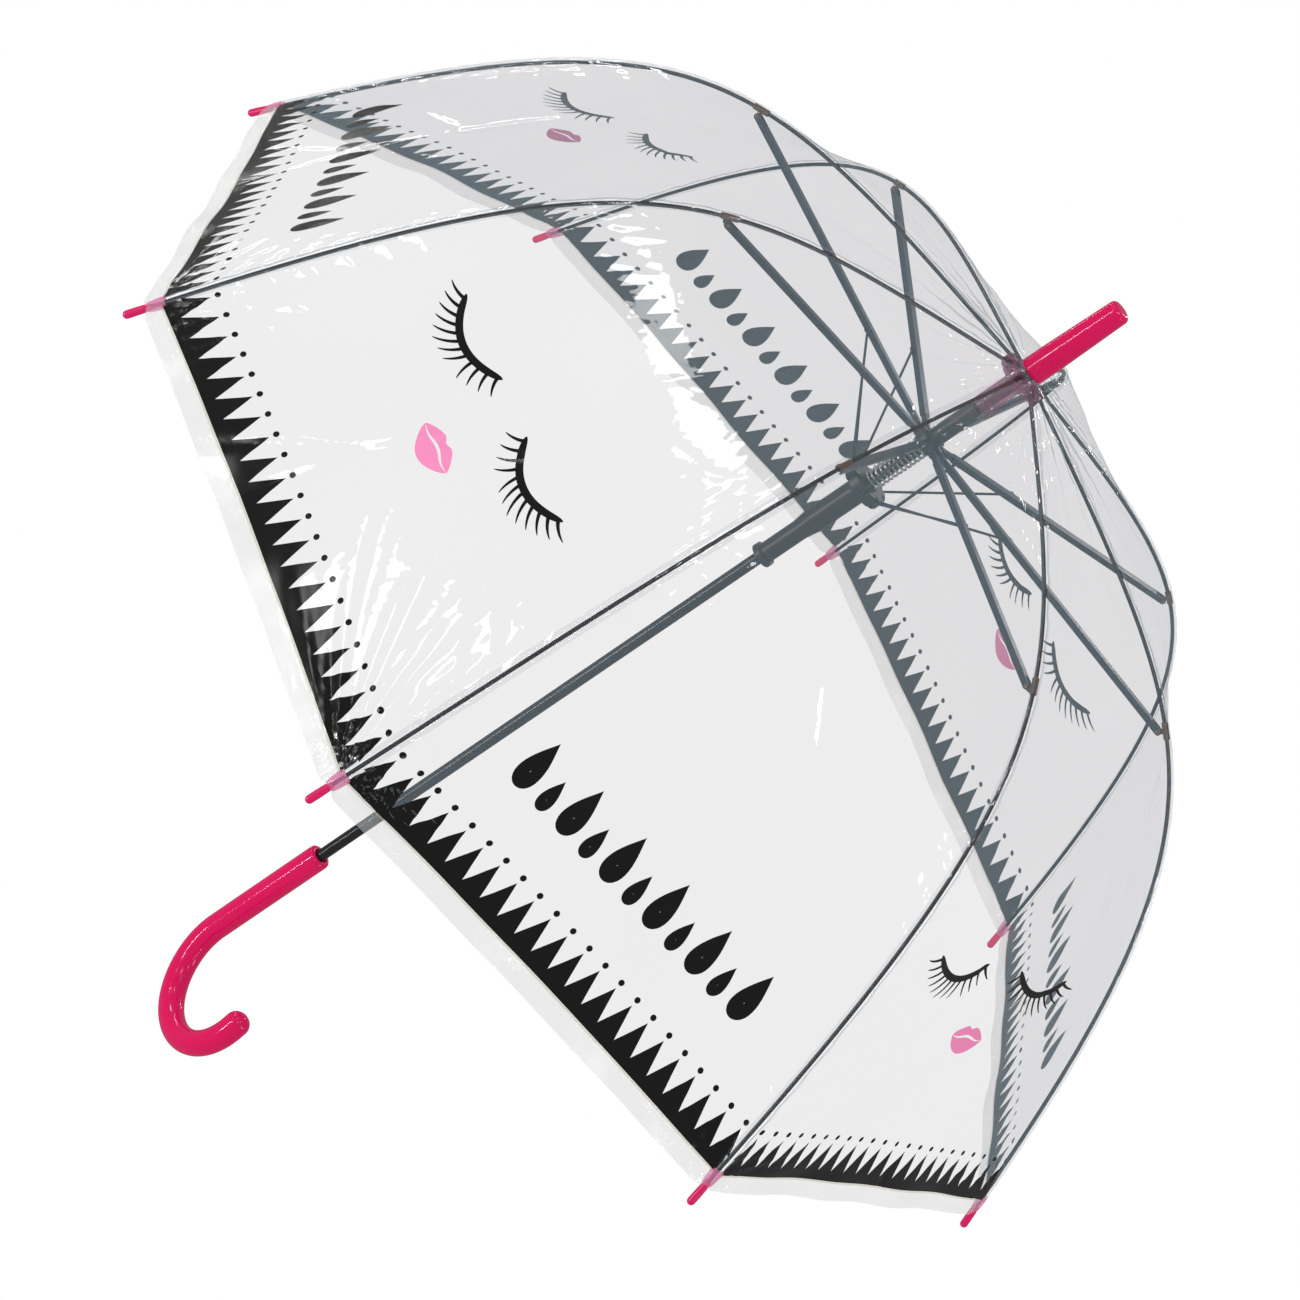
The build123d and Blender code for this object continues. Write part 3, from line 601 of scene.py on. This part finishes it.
# %% The laying part, used by each print's tree
def laid_on_film(tree, flat, film, lift):
    """Nodes that move flat geometry, in metres, to its place on the film."""
    sheet = add(tree, "GeometryNodeObjectInfo", {"Object": film},
                transform_space="ORIGINAL").outputs["Geometry"]
    uv = out(tree, "GeometryNodeInputNamedAttribute", {"Name": "UVMap"}, data_type="FLOAT_VECTOR")
    here = out(tree, "GeometryNodeInputPosition")
    normal = out(tree, "GeometryNodeInputNormal")
    looked_up = out(tree, "ShaderNodeVectorMath", {0: here, 1: (0.5, 0, 0)}, operation="ADD")
    found = []
    for value in (here, normal):
        sampled = add(tree, "GeometryNodeSampleUVSurface", data_type="FLOAT_VECTOR")
        tree.links.new(sheet, sampled.inputs["Mesh"])
        tree.links.new(value, sampled.inputs["Value"])
        tree.links.new(uv, sampled.inputs["UV Map"])
        tree.links.new(looked_up, sampled.inputs["Sample UV"])
        found.append(sampled)
    raised = out(tree, "ShaderNodeVectorMath", {0: found[1].outputs[0], "Scale": lift}, operation="SCALE")
    place = out(tree, "ShaderNodeVectorMath", {0: found[0].outputs[0], 1: raised}, operation="ADD")
    off_film = out(tree, "FunctionNodeBooleanMath", {0: found[0].outputs[1]}, operation="NOT")
    kept = out(tree, "GeometryNodeDeleteGeometry", {"Geometry": flat, "Selection": off_film})
    return out(tree, "GeometryNodeSetPosition", {"Geometry": kept, "Position": place})


# %% [markdown]
# ## The printed border
# Round the rim runs a solid black band with a row of saw teeth on it, and a dot over each tooth.
# One tooth is a small grid whose width shrinks to nothing at its top. Instance on Points sets
# twenty-two of them side by side, and the same for the dots. The whole border narrows towards the
# top, as the gore does, and bows up a little in its middle, as the pulled film does.

# %% The border tree
def border_tree():
    tree, size = new_tree("printed_border", "Width", "Band", "Tooth", "Teeth", "Dot Rise", "Dot",
                          "Base", "Bow", "Narrowing", "Film", "Lift", "Finish")
    pitch = sums(tree, "DIVIDE", size["Width"], size["Teeth"])
    band_columns = sums(tree, "ADD", sums(tree, "MULTIPLY", size["Teeth"], 7.0), 1.0)
    band = add(tree, "GeometryNodeMeshGrid", {"Size X": size["Width"], "Size Y": size["Band"],
                                              "Vertices X": band_columns, "Vertices Y": 5}).outputs["Mesh"]
    down = out(tree, "ShaderNodeCombineXYZ", {"Y": sums(tree, "MULTIPLY", size["Band"], -0.5)})
    band = out(tree, "GeometryNodeTransform", {"Geometry": band, "Translation": down})

    tooth = add(tree, "GeometryNodeMeshGrid", {"Size X": pitch, "Size Y": size["Tooth"],
                                               "Vertices X": 8, "Vertices Y": 11}).outputs["Mesh"]
    spot = add(tree, "ShaderNodeSeparateXYZ", {0: out(tree, "GeometryNodeInputPosition")})
    left = sums(tree, "ADD", sums(tree, "DIVIDE", spot.outputs["Y"], size["Tooth"]), 0.5)
    tooth_y = sums(tree, "SUBTRACT",
                   sums(tree, "SUBTRACT", spot.outputs["Y"], sums(tree, "MULTIPLY", size["Tooth"], 0.5)),
                   size["Band"])
    tooth_place = add(tree, "ShaderNodeCombineXYZ",
                      {"X": sums(tree, "MULTIPLY", spot.outputs["X"], left), "Y": tooth_y})
    tooth = out(tree, "GeometryNodeSetPosition", {"Geometry": tooth, "Position": tooth_place.outputs[0]})
    tooth = out(tree, "GeometryNodeMergeByDistance", {"Geometry": tooth, "Distance": 0.00002})

    dot = out(tree, "GeometryNodeMeshCircle",
              {"Vertices": 18, "Radius": sums(tree, "MULTIPLY", size["Dot"], 0.5)},
              fill_type="TRIANGLE_FAN")
    dot_up = out(tree, "ShaderNodeCombineXYZ", {"Y": sums(tree, "MULTIPLY", size["Dot Rise"], -1.0)})
    dot = out(tree, "GeometryNodeTransform", {"Geometry": dot, "Translation": dot_up})
    unit = add(tree, "GeometryNodeJoinGeometry")
    for part in (tooth, dot):
        tree.links.new(part, unit.inputs[0])

    first = sums(tree, "MULTIPLY", sums(tree, "SUBTRACT", size["Width"], pitch), -0.5)
    row = out(tree, "GeometryNodeMeshLine", {
        "Count": size["Teeth"], "Start Location": out(tree, "ShaderNodeCombineXYZ", {"X": first}),
        "Offset": out(tree, "ShaderNodeCombineXYZ", {"X": pitch})})
    teeth = out(tree, "GeometryNodeInstanceOnPoints", {"Points": row, "Instance": unit.outputs[0]})
    teeth = out(tree, "GeometryNodeRealizeInstances", {0: teeth})
    flat = add(tree, "GeometryNodeJoinGeometry")
    for part in (band, teeth):
        tree.links.new(part, flat.inputs[0])

    spot = add(tree, "ShaderNodeSeparateXYZ", {0: out(tree, "GeometryNodeInputPosition")})
    narrow = sums(tree, "ADD", 1.0, sums(tree, "MULTIPLY", spot.outputs["Y"], size["Narrowing"]))
    half = sums(tree, "DIVIDE", spot.outputs["X"], sums(tree, "MULTIPLY", size["Width"], 0.5))
    bowed = sums(tree, "MULTIPLY", size["Bow"],
                 sums(tree, "SUBTRACT", sums(tree, "MULTIPLY", half, half), 1.0))
    place_y = sums(tree, "ADD", sums(tree, "ADD", spot.outputs["Y"], size["Base"]), bowed)
    place = add(tree, "ShaderNodeCombineXYZ",
                {"X": sums(tree, "MULTIPLY", spot.outputs["X"], narrow), "Y": place_y})
    flat = out(tree, "GeometryNodeSetPosition", {"Geometry": flat.outputs[0], "Position": place.outputs[0]})
    finish_tree(tree, laid_on_film(tree, flat, size["Film"], size["Lift"]), size["Finish"])
    return tree


PRINT_LIFT = 0.00020
BAND, TOOTH, DOT, DOT_RISE, TEETH = 0.0072, 0.0205, 0.0038, 0.0318, 22
BORDER_BOW, NARROWING_OVER = 0.0026, 0.03
rim_width = 2 * float(half_width(RIM_ALONG))
border = border_tree()
narrowing = 1 - float(half_width(RIM_ALONG - NARROWING_OVER)) / float(half_width(RIM_ALONG))
prints = {gore: [] for gore in lower_films}
for gore, film in lower_films.items():
    piece = grown(
        f"border_{gore}", border, bpy.data.meshes.new("blank"), "clear_film", Width=rim_width - 0.002,
        Band=BAND, Tooth=TOOTH, Teeth=TEETH, Dot=DOT, Base=RIM_ALONG - 0.0002, Bow=BORDER_BOW,
        Narrowing=narrowing / NARROWING_OVER, Film=film, Lift=PRINT_LIFT, Finish=ink,
        **{"Dot Rise": DOT_RISE},
    )
    prints[gore].append(piece)
print("border faces:", len(prints[1][0].data.polygons))

# %% [markdown]
# ## The printed pictures
# Between the ribs the film has pictures: on every second gore a pair of closed lashes over a small
# mouth, and on the others a row of raindrops, plain shapes of this script's own. Each is a set of
# tapered strokes and round patches, drawn in metres by formula as small grids, so that it has
# enough points to bend with the film.

# %% Strokes and patches
def flat_mesh(grids):
    """One mesh from several grids of flat points."""
    corners, faces = [], []
    for grid in grids:
        rows, columns = grid.shape[:2]
        number = np.arange(rows * columns).reshape(rows, columns) + len(corners)
        quads = np.stack([number[:-1, :-1], number[:-1, 1:], number[1:, 1:], number[1:, :-1]],
                         -1).reshape(-1, 4)
        faces += quads.tolist()
        corners += [(x, y, 0.0) for x, y in grid.reshape(-1, 2).tolist()]
    mesh = bpy.data.meshes.new("flat_print")
    mesh.from_pydata(corners, [], faces)
    return mesh


def stroke(path, widths):
    """A tapered line along a path."""
    path = np.asarray(path, float)
    way = np.gradient(path, axis=0)
    way /= np.linalg.norm(way, axis=1, keepdims=True)
    side = np.stack([-way[:, 1], way[:, 0]], 1) * np.asarray(widths, float)[:, None] / 2
    return np.stack([path + side * step for step in (-1, -0.33, 0.33, 1)], 1)


def round_patch(middle, outline, rings=7):
    """A filled shape: its outline, shrunk ring by ring to its middle."""
    middle, outline = np.asarray(middle, float), np.asarray(outline, float)
    closed = np.concatenate([outline, outline[:1]])
    return np.stack([middle + (closed - middle) * step for step in np.linspace(0.02, 1, rings)], 0)


# %% Lashes and mouth
LID_SAG, LID_THICK, LASHES, LASH_POINTS = 0.013, 0.0046, 12, 12


def lashes(middle_x, lid_along, half_length, side):
    """A closed lid, bowed towards the rim, with twelve lashes that lean away from the nose."""
    t = np.linspace(-1, 1, 41)
    x = middle_x + half_length * t
    y = lid_along + LID_SAG * (1 - t**2)
    pieces = [stroke(np.stack([x, y], 1), LID_THICK * np.sqrt(np.maximum(1 - t**8, 0.03)))]
    for share in np.linspace(-0.92, 0.92, LASHES):
        root = np.array([middle_x + half_length * share, lid_along + LID_SAG * (1 - share**2)])
        lean = side * 0.25 + share * 0.95
        length = 0.0125 + 0.0035 * (1 - abs(share)) + 0.002 * (share * side > 0)
        step = np.linspace(0, 1, LASH_POINTS)
        bend = lean + 0.55 * np.sign(lean) * step
        path = root + np.cumsum(np.stack([np.sin(bend), np.cos(bend)], 1) * length / LASH_POINTS, axis=0)
        pieces.append(stroke(path, 0.0020 * (1 - step) ** 0.6 + 0.0003))
    return pieces


def mouth(along, width, height):
    """Two lips: a bowed upper one and a fuller lower one."""
    t = np.linspace(0, 1, 25)
    x = (t - 0.5) * width
    dip = 1 - 0.28 * np.exp(-((t - 0.5) / 0.09) ** 2)
    upper_edge = along - height * 0.42 * np.sin(math.pi * t) ** 0.8 * dip
    parting = along + 0.0009 * np.sin(math.tau * 1.5 * t)
    lower_edge = along + height * 0.58 * np.sin(math.pi * t) ** 0.75
    gap = 0.0009 * np.sin(math.pi * t)
    top = np.stack([np.stack([x, upper_edge + (parting - gap - upper_edge) * step], 1)
                    for step in np.linspace(0, 1, 7)])
    low = np.stack([np.stack([x, parting + gap + (lower_edge - parting - gap) * step], 1)
                    for step in np.linspace(0, 1, 9)])
    return [top, low]


# %% Raindrops
def raindrop(middle_x, middle_along, height):
    """A drop with its point towards the crown."""
    turn_by = np.linspace(0, math.tau, 37)[:-1]
    x = middle_x + 0.30 * height * np.sin(turn_by) * np.sin(turn_by / 2) ** 1.3
    y = middle_along - 0.5 * height * np.cos(turn_by)
    return round_patch((middle_x, middle_along + 0.16 * height), np.stack([x, y], 1))


TALL_DROP, SHORT_DROP = (0.4515, 0.034), (0.4575, 0.022)


def drop_row():
    places = np.linspace(-0.092, 0.092, 11)
    return [raindrop(x, *(SHORT_DROP if number % 2 else TALL_DROP)) for number, x in enumerate(places)]


# %% Lay the pictures on the film
picture_tree, picture = new_tree("laid_picture", "Film", "Lift", "Finish")
finish_tree(picture_tree, laid_on_film(picture_tree, picture["Geometry"], picture["Film"], picture["Lift"]),
            picture["Finish"])
for gore, film in lower_films.items():
    if gore % 2:
        drawn = [("lashes", lashes(-0.0535, 0.3705, 0.0295, -1) + lashes(0.0435, 0.3705, 0.0290, 1), ink),
                 ("mouth", mouth(0.4195, 0.034, 0.0205), lip_ink)]
    else:
        drawn = [("raindrops", drop_row(), ink)]
    for label, grids, colour in drawn:
        prints[gore].append(grown(f"{label}_{gore}", picture_tree, flat_mesh(grids), "clear_film",
                                  Film=film, Lift=PRINT_LIFT, Finish=colour))
print("pictures:", sum(len(found) for found in prints.values()) - RIBS)

# %% [markdown]
# ## The hem
# Outside the border the vinyl is folded back and welded, which leaves a clear strip pressed with a
# fine cross-hatch and a yellowish line where the weld starts. It is a second sheet a little above
# the first, with its own UV map, so the hatch and the line follow the rim.

# %% Hem strips
for gore in lower_films:
    columns = column_shares(121)
    across = columns * (half_width(np.full_like(columns, RIM_ALONG)) - 0.0005)
    share = across / half_width(RIM_ALONG)
    inner = RIM_ALONG - BORDER_BOW * (1 - share**2)
    depth = np.linspace(0, 1, 9)[:, None]
    along = inner + depth * (along_end(across) - inner)
    points = film_point(gore, across + 0 * along, along, above=0.00018)
    piece = grid_sheet(f"hem_{gore}", points, across + 0 * along, depth + 0 * along, hem_finish)
    prints[gore].append(piece)
print("hem strips:", RIBS)


for gore in lower_films:
    follow_closing(upper_films[gore], gore, "gore_upper")
    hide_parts(f"film_upper_{gore}")
    follow_closing(lower_films[gore], gore, "gore_lower")
    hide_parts(f"film_lower_{gore}")
    for piece in prints[gore]:
        follow_closing(piece, gore, "gore_lower")

# %% [markdown]
# ## The seams
# Two gores meet over a rib in a welded seam, which forms a clear channel for the rib wire. From
# outside it is a narrow strip with a raised round middle, and it catches a long bright line.

# %% Seam strips
def rib_axes(rib):
    angle = (rib - 1) * PITCH
    return np.array([math.cos(angle), math.sin(angle), 0]), np.array([-math.sin(angle), math.cos(angle), 0])


def rib_line_point(rib, share, inward=0.0):
    """A point on a rib's middle line, as (x, y, z), moved inwards square to it."""
    radius, height = on_curve(rib_controls, share) - inward * out_of_curve(rib_controls, share)
    outward, _ = rib_axes(rib)
    return outward * radius + np.array([0, 0, height])


BEND_LENGTH = 0.016
bend_start, bend_end = {}, {}
for rib in range(1, RIBS + 1):
    middle = rib_line_point(rib, JOINT_SHARE)
    way = rib_line_point(rib, JOINT_SHARE + 0.01) - middle
    way /= np.linalg.norm(way)
    bend_start[rib], bend_end[rib] = tuple(middle - way * BEND_LENGTH), tuple(middle + way * BEND_LENGTH)


def bend_with_rib(piece):
    """Bake the piece's placement into its mesh."""
    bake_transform(piece)


SEAM_HALF, RIDGE_HALF, RIDGE_RISE, SEAM_START = 0.0048, 0.0021, 0.0009, 0.012
for rib in range(1, RIBS + 1):
    across = np.array([-1, -0.75, -0.45, -0.3, -0.15, 0, 0.15, 0.3, 0.45, 0.75, 1]) * SEAM_HALF
    ridge = RIDGE_RISE * np.clip(1 - (across / RIDGE_HALF) ** 2, 0, 1) ** 0.5
    along = np.linspace(SEAM_START, RIM_ALONG + 0.001, 200)
    columns = []
    for step, rise in zip(across, ridge):
        gore = rib if step > 0 else (rib - 2) % RIBS + 1
        edge = half_width(along) - abs(step)
        waver = 0.00012 * np.sin(along * 410 + rib) + 0.00008 * np.sin(along * 1170 + 2 * rib)
        columns.append(film_point(gore, -edge if step > 0 else edge, along,
                                  above=0.00022 + rise + waver * (rise > 0)))
    points = np.stack(columns, 1)
    grid_along = along[:, None] + 0 * across
    piece = grid_sheet(f"seam_{rib}", points, across + 0 * grid_along, grid_along, seam_finish)
    bend_with_rib(piece)
print("seams:", RIBS, "each", SEAM_HALF * 2000, "mm wide")

# %% [markdown]
# ## The rib wires
# A rib is a round sprung wire. CAD has it as a flat bar, which is enough for collision. Here a tree
# turns a line of points into a curve and sweeps a circle along it. The same tree makes the coil.

# %% The wire tree
def wire_tree():
    tree, size = new_tree("round_wire", "Radius", "Sides", "Finish")
    curve = out(tree, "GeometryNodeMeshToCurve", {0: size["Geometry"]})
    ring = out(tree, "GeometryNodeCurvePrimitiveCircle",
               {"Resolution": size["Sides"], "Radius": size["Radius"]})
    swept = out(tree, "GeometryNodeCurveToMesh", {"Curve": curve, "Profile Curve": ring, "Fill Caps": True})
    finish_tree(tree, swept, size["Finish"])
    return tree


def line_mesh(points):
    mesh = bpy.data.meshes.new("line")
    mesh.from_pydata([tuple(p) for p in points], [(n, n + 1) for n in range(len(points) - 1)], [])
    return mesh


def crisp(piece, degrees=35):
    """Smooth shading with hard edges where the surface really turns."""
    piece.data.shade_smooth()
    piece.data.set_sharp_from_angle(angle=math.radians(degrees))
    return piece


wire = wire_tree()
RIB_RADIUS = 0.00125
rib_wires = {}
for rib in range(1, RIBS + 1):
    path = [rib_line_point(rib, share) for share in np.linspace(0.001, 1 + 0.009 / (3 * RIM_REACH), 150)]
    rib_wires[rib] = crisp(grown(f"rib_wire_{rib}", wire, line_mesh(path), "black_steel", Radius=RIB_RADIUS,
                                 Sides=12, Finish=black_paint))
print("rib wires:", len(rib_wires), "faces each", len(rib_wires[1].data.polygons))

# %% [markdown]
# ## Turned solids
# Rivets, tips, the ferrule and the handle are all round in section. One helper turns a list of
# (distance, radius) pairs into rings of points and joins them, with a pole at each closed end. It
# writes the mesh directly, so the faces point outwards and nothing needs to be cleaned up.

# %% A solid of rings
def ringed(path, ways, radii, sides, flatten=1.0, side_way=None):
    """Rings round a path: centres, directions and radii. flatten shrinks one of the two widths."""
    corners, faces = [], []
    for centre, way, radius in zip(path, ways, radii):
        way, radius = Vector(way).normalized(), float(radius)
        first = Vector(side_way)
        first = (first - way * first.dot(way)).normalized()
        second = way.cross(first)
        if radius < 1e-7:
            corners.append([Vector(centre)])
            continue
        ring = [Vector(centre) + radius * (first * math.cos(t) + flatten * second * math.sin(t))
                for t in np.linspace(0, math.tau, sides, endpoint=False)]
        corners.append(ring)
    starts = np.cumsum([0] + [len(ring) for ring in corners])
    for number in range(len(corners) - 1):
        a, b = int(starts[number]), int(starts[number + 1])
        if len(corners[number]) == 1:
            faces += [(a, b + (k + 1) % sides, b + k) for k in range(sides)]
        elif len(corners[number + 1]) == 1:
            faces += [(a + k, a + (k + 1) % sides, b) for k in range(sides)]
        else:
            faces += [(a + k, a + (k + 1) % sides, b + (k + 1) % sides, b + k) for k in range(sides)]
    return [tuple(corner) for ring in corners for corner in ring], faces


def turned(base, way, profile, sides=24, flatten=1.0, side_way=(0, 0, 1)):
    """A solid turned about an axis, from (distance along, radius) pairs."""
    base, way = np.asarray(base, float), np.asarray(way, float) / np.linalg.norm(way)
    centres = [base + way * along for along, _ in profile]
    return ringed(centres, [way] * len(profile), [radius for _, radius in profile], sides, flatten, side_way)


def built(name, solids, finish):
    """One piece from several solids."""
    corners, faces = [], []
    for more, joined in solids:
        faces += [tuple(k + len(corners) for k in face) for face in joined]
        corners += more
    mesh = bpy.data.meshes.new(name)
    mesh.from_pydata(corners, [], faces)
    return crisp(new_piece(name, mesh, finish))


def rounded_end(at, radius, start_angle=0.0, steps=6, squash=1.0):
    """The last pairs of a profile: a quarter round down to a point."""
    angles = np.linspace(start_angle, math.pi / 2, steps)
    return [(at + squash * radius * math.sin(t),
             radius * math.cos(t) if t < math.pi / 2 - 1e-6 else 0.0) for t in angles]


print("ring helper ready")

# %% The stretcher clips on the ribs
CLIP_DROP, RIVET_HALF, RIVET_PIN, RIVET_HEAD = 0.0045, 0.0031, 0.0009, 0.0016
rivet_end = [(0, 0), (0.0001, RIVET_PIN), (0.0005, RIVET_HEAD), (0.0006, RIVET_HEAD), (0.0006, RIVET_PIN)]
RIVET = rivet_end + [(2 * RIVET_HALF - run, radius) for run, radius in reversed(rivet_end)]
for rib in range(1, RIBS + 1):
    middle = rib_line_point(rib, JOINT_SHARE)
    pivot = rib_line_point(rib, JOINT_SHARE, inward=CLIP_DROP)
    way = rib_line_point(rib, JOINT_SHARE + 0.01) - rib_line_point(rib, JOINT_SHARE - 0.01)
    way /= np.linalg.norm(way)
    _, sideways = rib_axes(rib)
    inward = (pivot - middle) / np.linalg.norm(pivot - middle)
    sleeve = turned(middle - way * 0.0055, way,
                    [(0, 0), (0, 0.0017), (0.0004, 0.0020), (0.0106, 0.0020), (0.011, 0.0017), (0.011, 0)],
                    20, side_way=sideways)
    lug = turned(middle - inward * 0.0002, inward,
                 [(0, 0), (0, 0.0017), (0.0030, 0.0018), (0.0058, 0.0017), (0.0063, 0.0012), (0.0063, 0)],
                 20, flatten=0.46, side_way=way)
    rivet = turned(pivot - sideways * RIVET_HALF, sideways, RIVET, 16, side_way=way)
    clip = built(f"rib_clip_{rib}", [sleeve, lug, rivet], rivet_brass)
    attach(clip, f"rib_inner_{rib}")
    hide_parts(f"rib_{rib}")
    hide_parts(f"rib_{rib}")
    bend_with_rib(rib_wires[rib])
print("clips:", RIBS)

# %% [markdown]
# ## The tips
# Each rib ends in a soft translucent pink sleeve, pressed a little flat where the film's corner
# goes into it, round a solid pink end. The sleeve's finish is a pink kind of the film's.

# %% Tips
TIP_END = [(0.0066, 0), (0.0066, 0.0018), (0.0072, 0.0021), (0.0110, 0.0024), (0.0170, 0.00255),
           (0.0214, 0.0025)]
TIP_END += rounded_end(0.0214, 0.0025, 0.2)
TIP_SLEEVE = [(-0.0026, 0.0037), (-0.0022, 0.0041), (-0.0012, 0.0043), (0.0, 0.0043), (0.0040, 0.0040),
              (0.0074, 0.0036), (0.0086, 0.0031), (0.0091, 0.0024)]
SLEEVE_FLATTEN = 0.72
tip_slope = np.array([math.sin(RIM_LEAN), -math.cos(RIM_LEAN)])
for rib in range(1, RIBS + 1):
    outward, sideways = rib_axes(rib)
    end = outward * RIM[0] + np.array([0, 0, RIM[1]])
    way = outward * tip_slope[0] + np.array([0, 0, tip_slope[1]])
    solid = turned(end, way, TIP_END, 24, side_way=sideways)
    end_piece = built(f"tip_end_{rib}", [solid], tip_plastic)
    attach(end_piece, f"rib_outer_{rib}")
    sleeve = turned(end, way, TIP_SLEEVE, 28, flatten=SLEEVE_FLATTEN, side_way=sideways)
    sleeve_piece = built(f"tip_sleeve_{rib}", [sleeve], soft_pink)
    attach(sleeve_piece, f"rib_outer_{rib}")
    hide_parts(f"tip_{rib}")
    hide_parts(f"tip_{rib}")
print("tips:", RIBS)

# %% [markdown]
# ## Handle and ferrule
# Both are glossy injection mouldings. The handle is one round bar swept along a straight grip and a
# crook, with a domed end, and a softened rim round the hole that the shaft goes into. The ferrule
# is turned: straight at its base, with a small bevel, then tapered to a rounded end.

# %% Handle
HANDLE_RADIUS, HANDLE_TOP, GRIP_LENGTH = 0.0088, 0.048, 0.0965
CROOK_RADIUS, CROOK_ANGLE, CROOK_END = 0.0466, math.radians(190), 0.012
crook_middle = np.array([CROOK_RADIUS, 0, HANDLE_TOP - GRIP_LENGTH])
crook_length = CROOK_RADIUS * CROOK_ANGLE


def handle_place(run):
    """The point and direction on the handle's middle line, a run down from its top."""
    if run <= GRIP_LENGTH:
        return np.array([0, 0, HANDLE_TOP - run]), (0, 0, -1)
    angle = math.pi + min(run - GRIP_LENGTH, crook_length) / CROOK_RADIUS
    point = crook_middle + CROOK_RADIUS * np.array([math.cos(angle), 0, math.sin(angle)])
    way = np.array([-math.sin(angle), 0, math.cos(angle)])
    return point + way * max(run - GRIP_LENGTH - crook_length, 0), way


handle_run = GRIP_LENGTH + crook_length + CROOK_END
body_end = handle_run - HANDLE_RADIUS * 0.92
profile = [(0.0016, 0.0041), (0.0016, 0.0047), (0.0003, 0.0052), (0.0, 0.0058), (0.0, 0.0066),
           (0.0004, 0.0078), (0.0012, 0.0085), (0.0024, HANDLE_RADIUS)]
profile += [(run, HANDLE_RADIUS) for run in np.linspace(0.006, body_end, 110)]
profile += rounded_end(body_end, HANDLE_RADIUS, 0.1, 12, 0.92)
spots = [handle_place(run) for run, _ in profile]
radii = [radius for _, radius in profile]
handle_solid = ringed([point for point, _ in spots], [way for _, way in spots], radii, 56, side_way=(0, 1, 0))
handle_piece = built("handle_moulding", [handle_solid], pink_plastic)
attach(handle_piece, "frame")
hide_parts("handle")
print("handle run:", round(handle_run, 4), "m")

# %% Ferrule
low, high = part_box("ferrule")
FERRULE_RADIUS, FERRULE_TIP, FERRULE_STRAIGHT = 0.0090, 0.0078, 0.014
ferrule_length = high.z - low.z
ferrule_profile = [(0.0010, 0.0041), (0.0010, 0.0062), (0.0002, 0.0068), (0.0, 0.0076), (0.0004, 0.0086),
                   (0.0012, FERRULE_RADIUS)]
ferrule_profile += [(run, FERRULE_RADIUS) for run in (0.003, 0.008, FERRULE_STRAIGHT)]
FERRULE_ROUNDING = 0.003
taper_end = ferrule_length - FERRULE_ROUNDING
for run in np.linspace(0.018, taper_end, 10):
    taper = (run - FERRULE_STRAIGHT) / (ferrule_length - FERRULE_STRAIGHT)
    ferrule_profile.append((run, FERRULE_RADIUS + (FERRULE_TIP - FERRULE_RADIUS) * taper))
last_radius = ferrule_profile[-1][1]
for t in np.linspace(0.15, math.pi / 2, 9):
    ferrule_profile.append((taper_end + FERRULE_ROUNDING * math.sin(t),
                            last_radius - FERRULE_ROUNDING * (1 - math.cos(t))))
ferrule_profile.append((ferrule_length, 0))
ferrule_solid = turned((0, 0, low.z), (0, 0, 1), ferrule_profile, 56, side_way=(1, 0, 0))
ferrule_piece = built("ferrule_moulding", [ferrule_solid], pink_plastic)
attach(ferrule_piece, "frame")
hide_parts("ferrule")
print("ferrule:", round(ferrule_length, 4), "m long")

# %% [markdown]
# ## The main spring
# The bright coil between the runner and the stretcher hub holds the umbrella open. Its line is a
# helix with closed end turns, and the wire tree gives it its thickness.

# %% Main spring
spring_low, spring_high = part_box("main_spring")
SPRING_WIRE = 0.0008
coil_radius = spring_high.x - SPRING_WIRE
coil_base, coil_top = spring_low.z + SPRING_WIRE, spring_high.z - SPRING_WIRE
turns, points_per_turn = 13.0, 28
t = np.linspace(0, 1, int(turns * points_per_turn) + 1)
rise = np.interp(t, [0, 0.08, 0.92, 1], [0, 0.035, 0.965, 1])
coil_points = np.stack([coil_radius * np.cos(math.tau * turns * t),
                        coil_radius * np.sin(math.tau * turns * t),
                        coil_base + (coil_top - coil_base) * rise], 1)
spring_piece = grown("spring_coil", wire, line_mesh(coil_points), "bright_steel", Radius=SPRING_WIRE,
                     Sides=10, Finish=bright_steel)
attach(spring_piece, "runner")
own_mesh(spring_piece)
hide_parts("main_spring")
print("spring:", turns, "turns,", round(coil_top - coil_base, 4), "m tall")

# %% [markdown]
# ## Finishes for the CAD parts
# The shaft, rings, runner, stretchers and links keep their CAD shapes, which are right as they are.
# Each gets a finish of its own kind of metal or plastic.

# %% Paint the CAD nodes
finishes = {
    "shaft": black_paint, "crown": crown_plastic, "canopy_washer": washer_clear, "runner": black_plastic,
    "stretcher_hub": black_plastic, "catch": bright_steel, "crown_wire": dark_steel, "hub_wire": dark_steel,
    "runner_wire": dark_steel, "stretcher": dark_steel, "link": dark_steel,
}
painted = 0
for name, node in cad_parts.items():
    finish = finishes.get(name) or finishes.get(name.rsplit("_", 1)[0])
    if finish and not node.hide_render:
        for holder in node.material_slots:
            holder.material = finish
        painted += 1
print("CAD nodes painted:", painted)
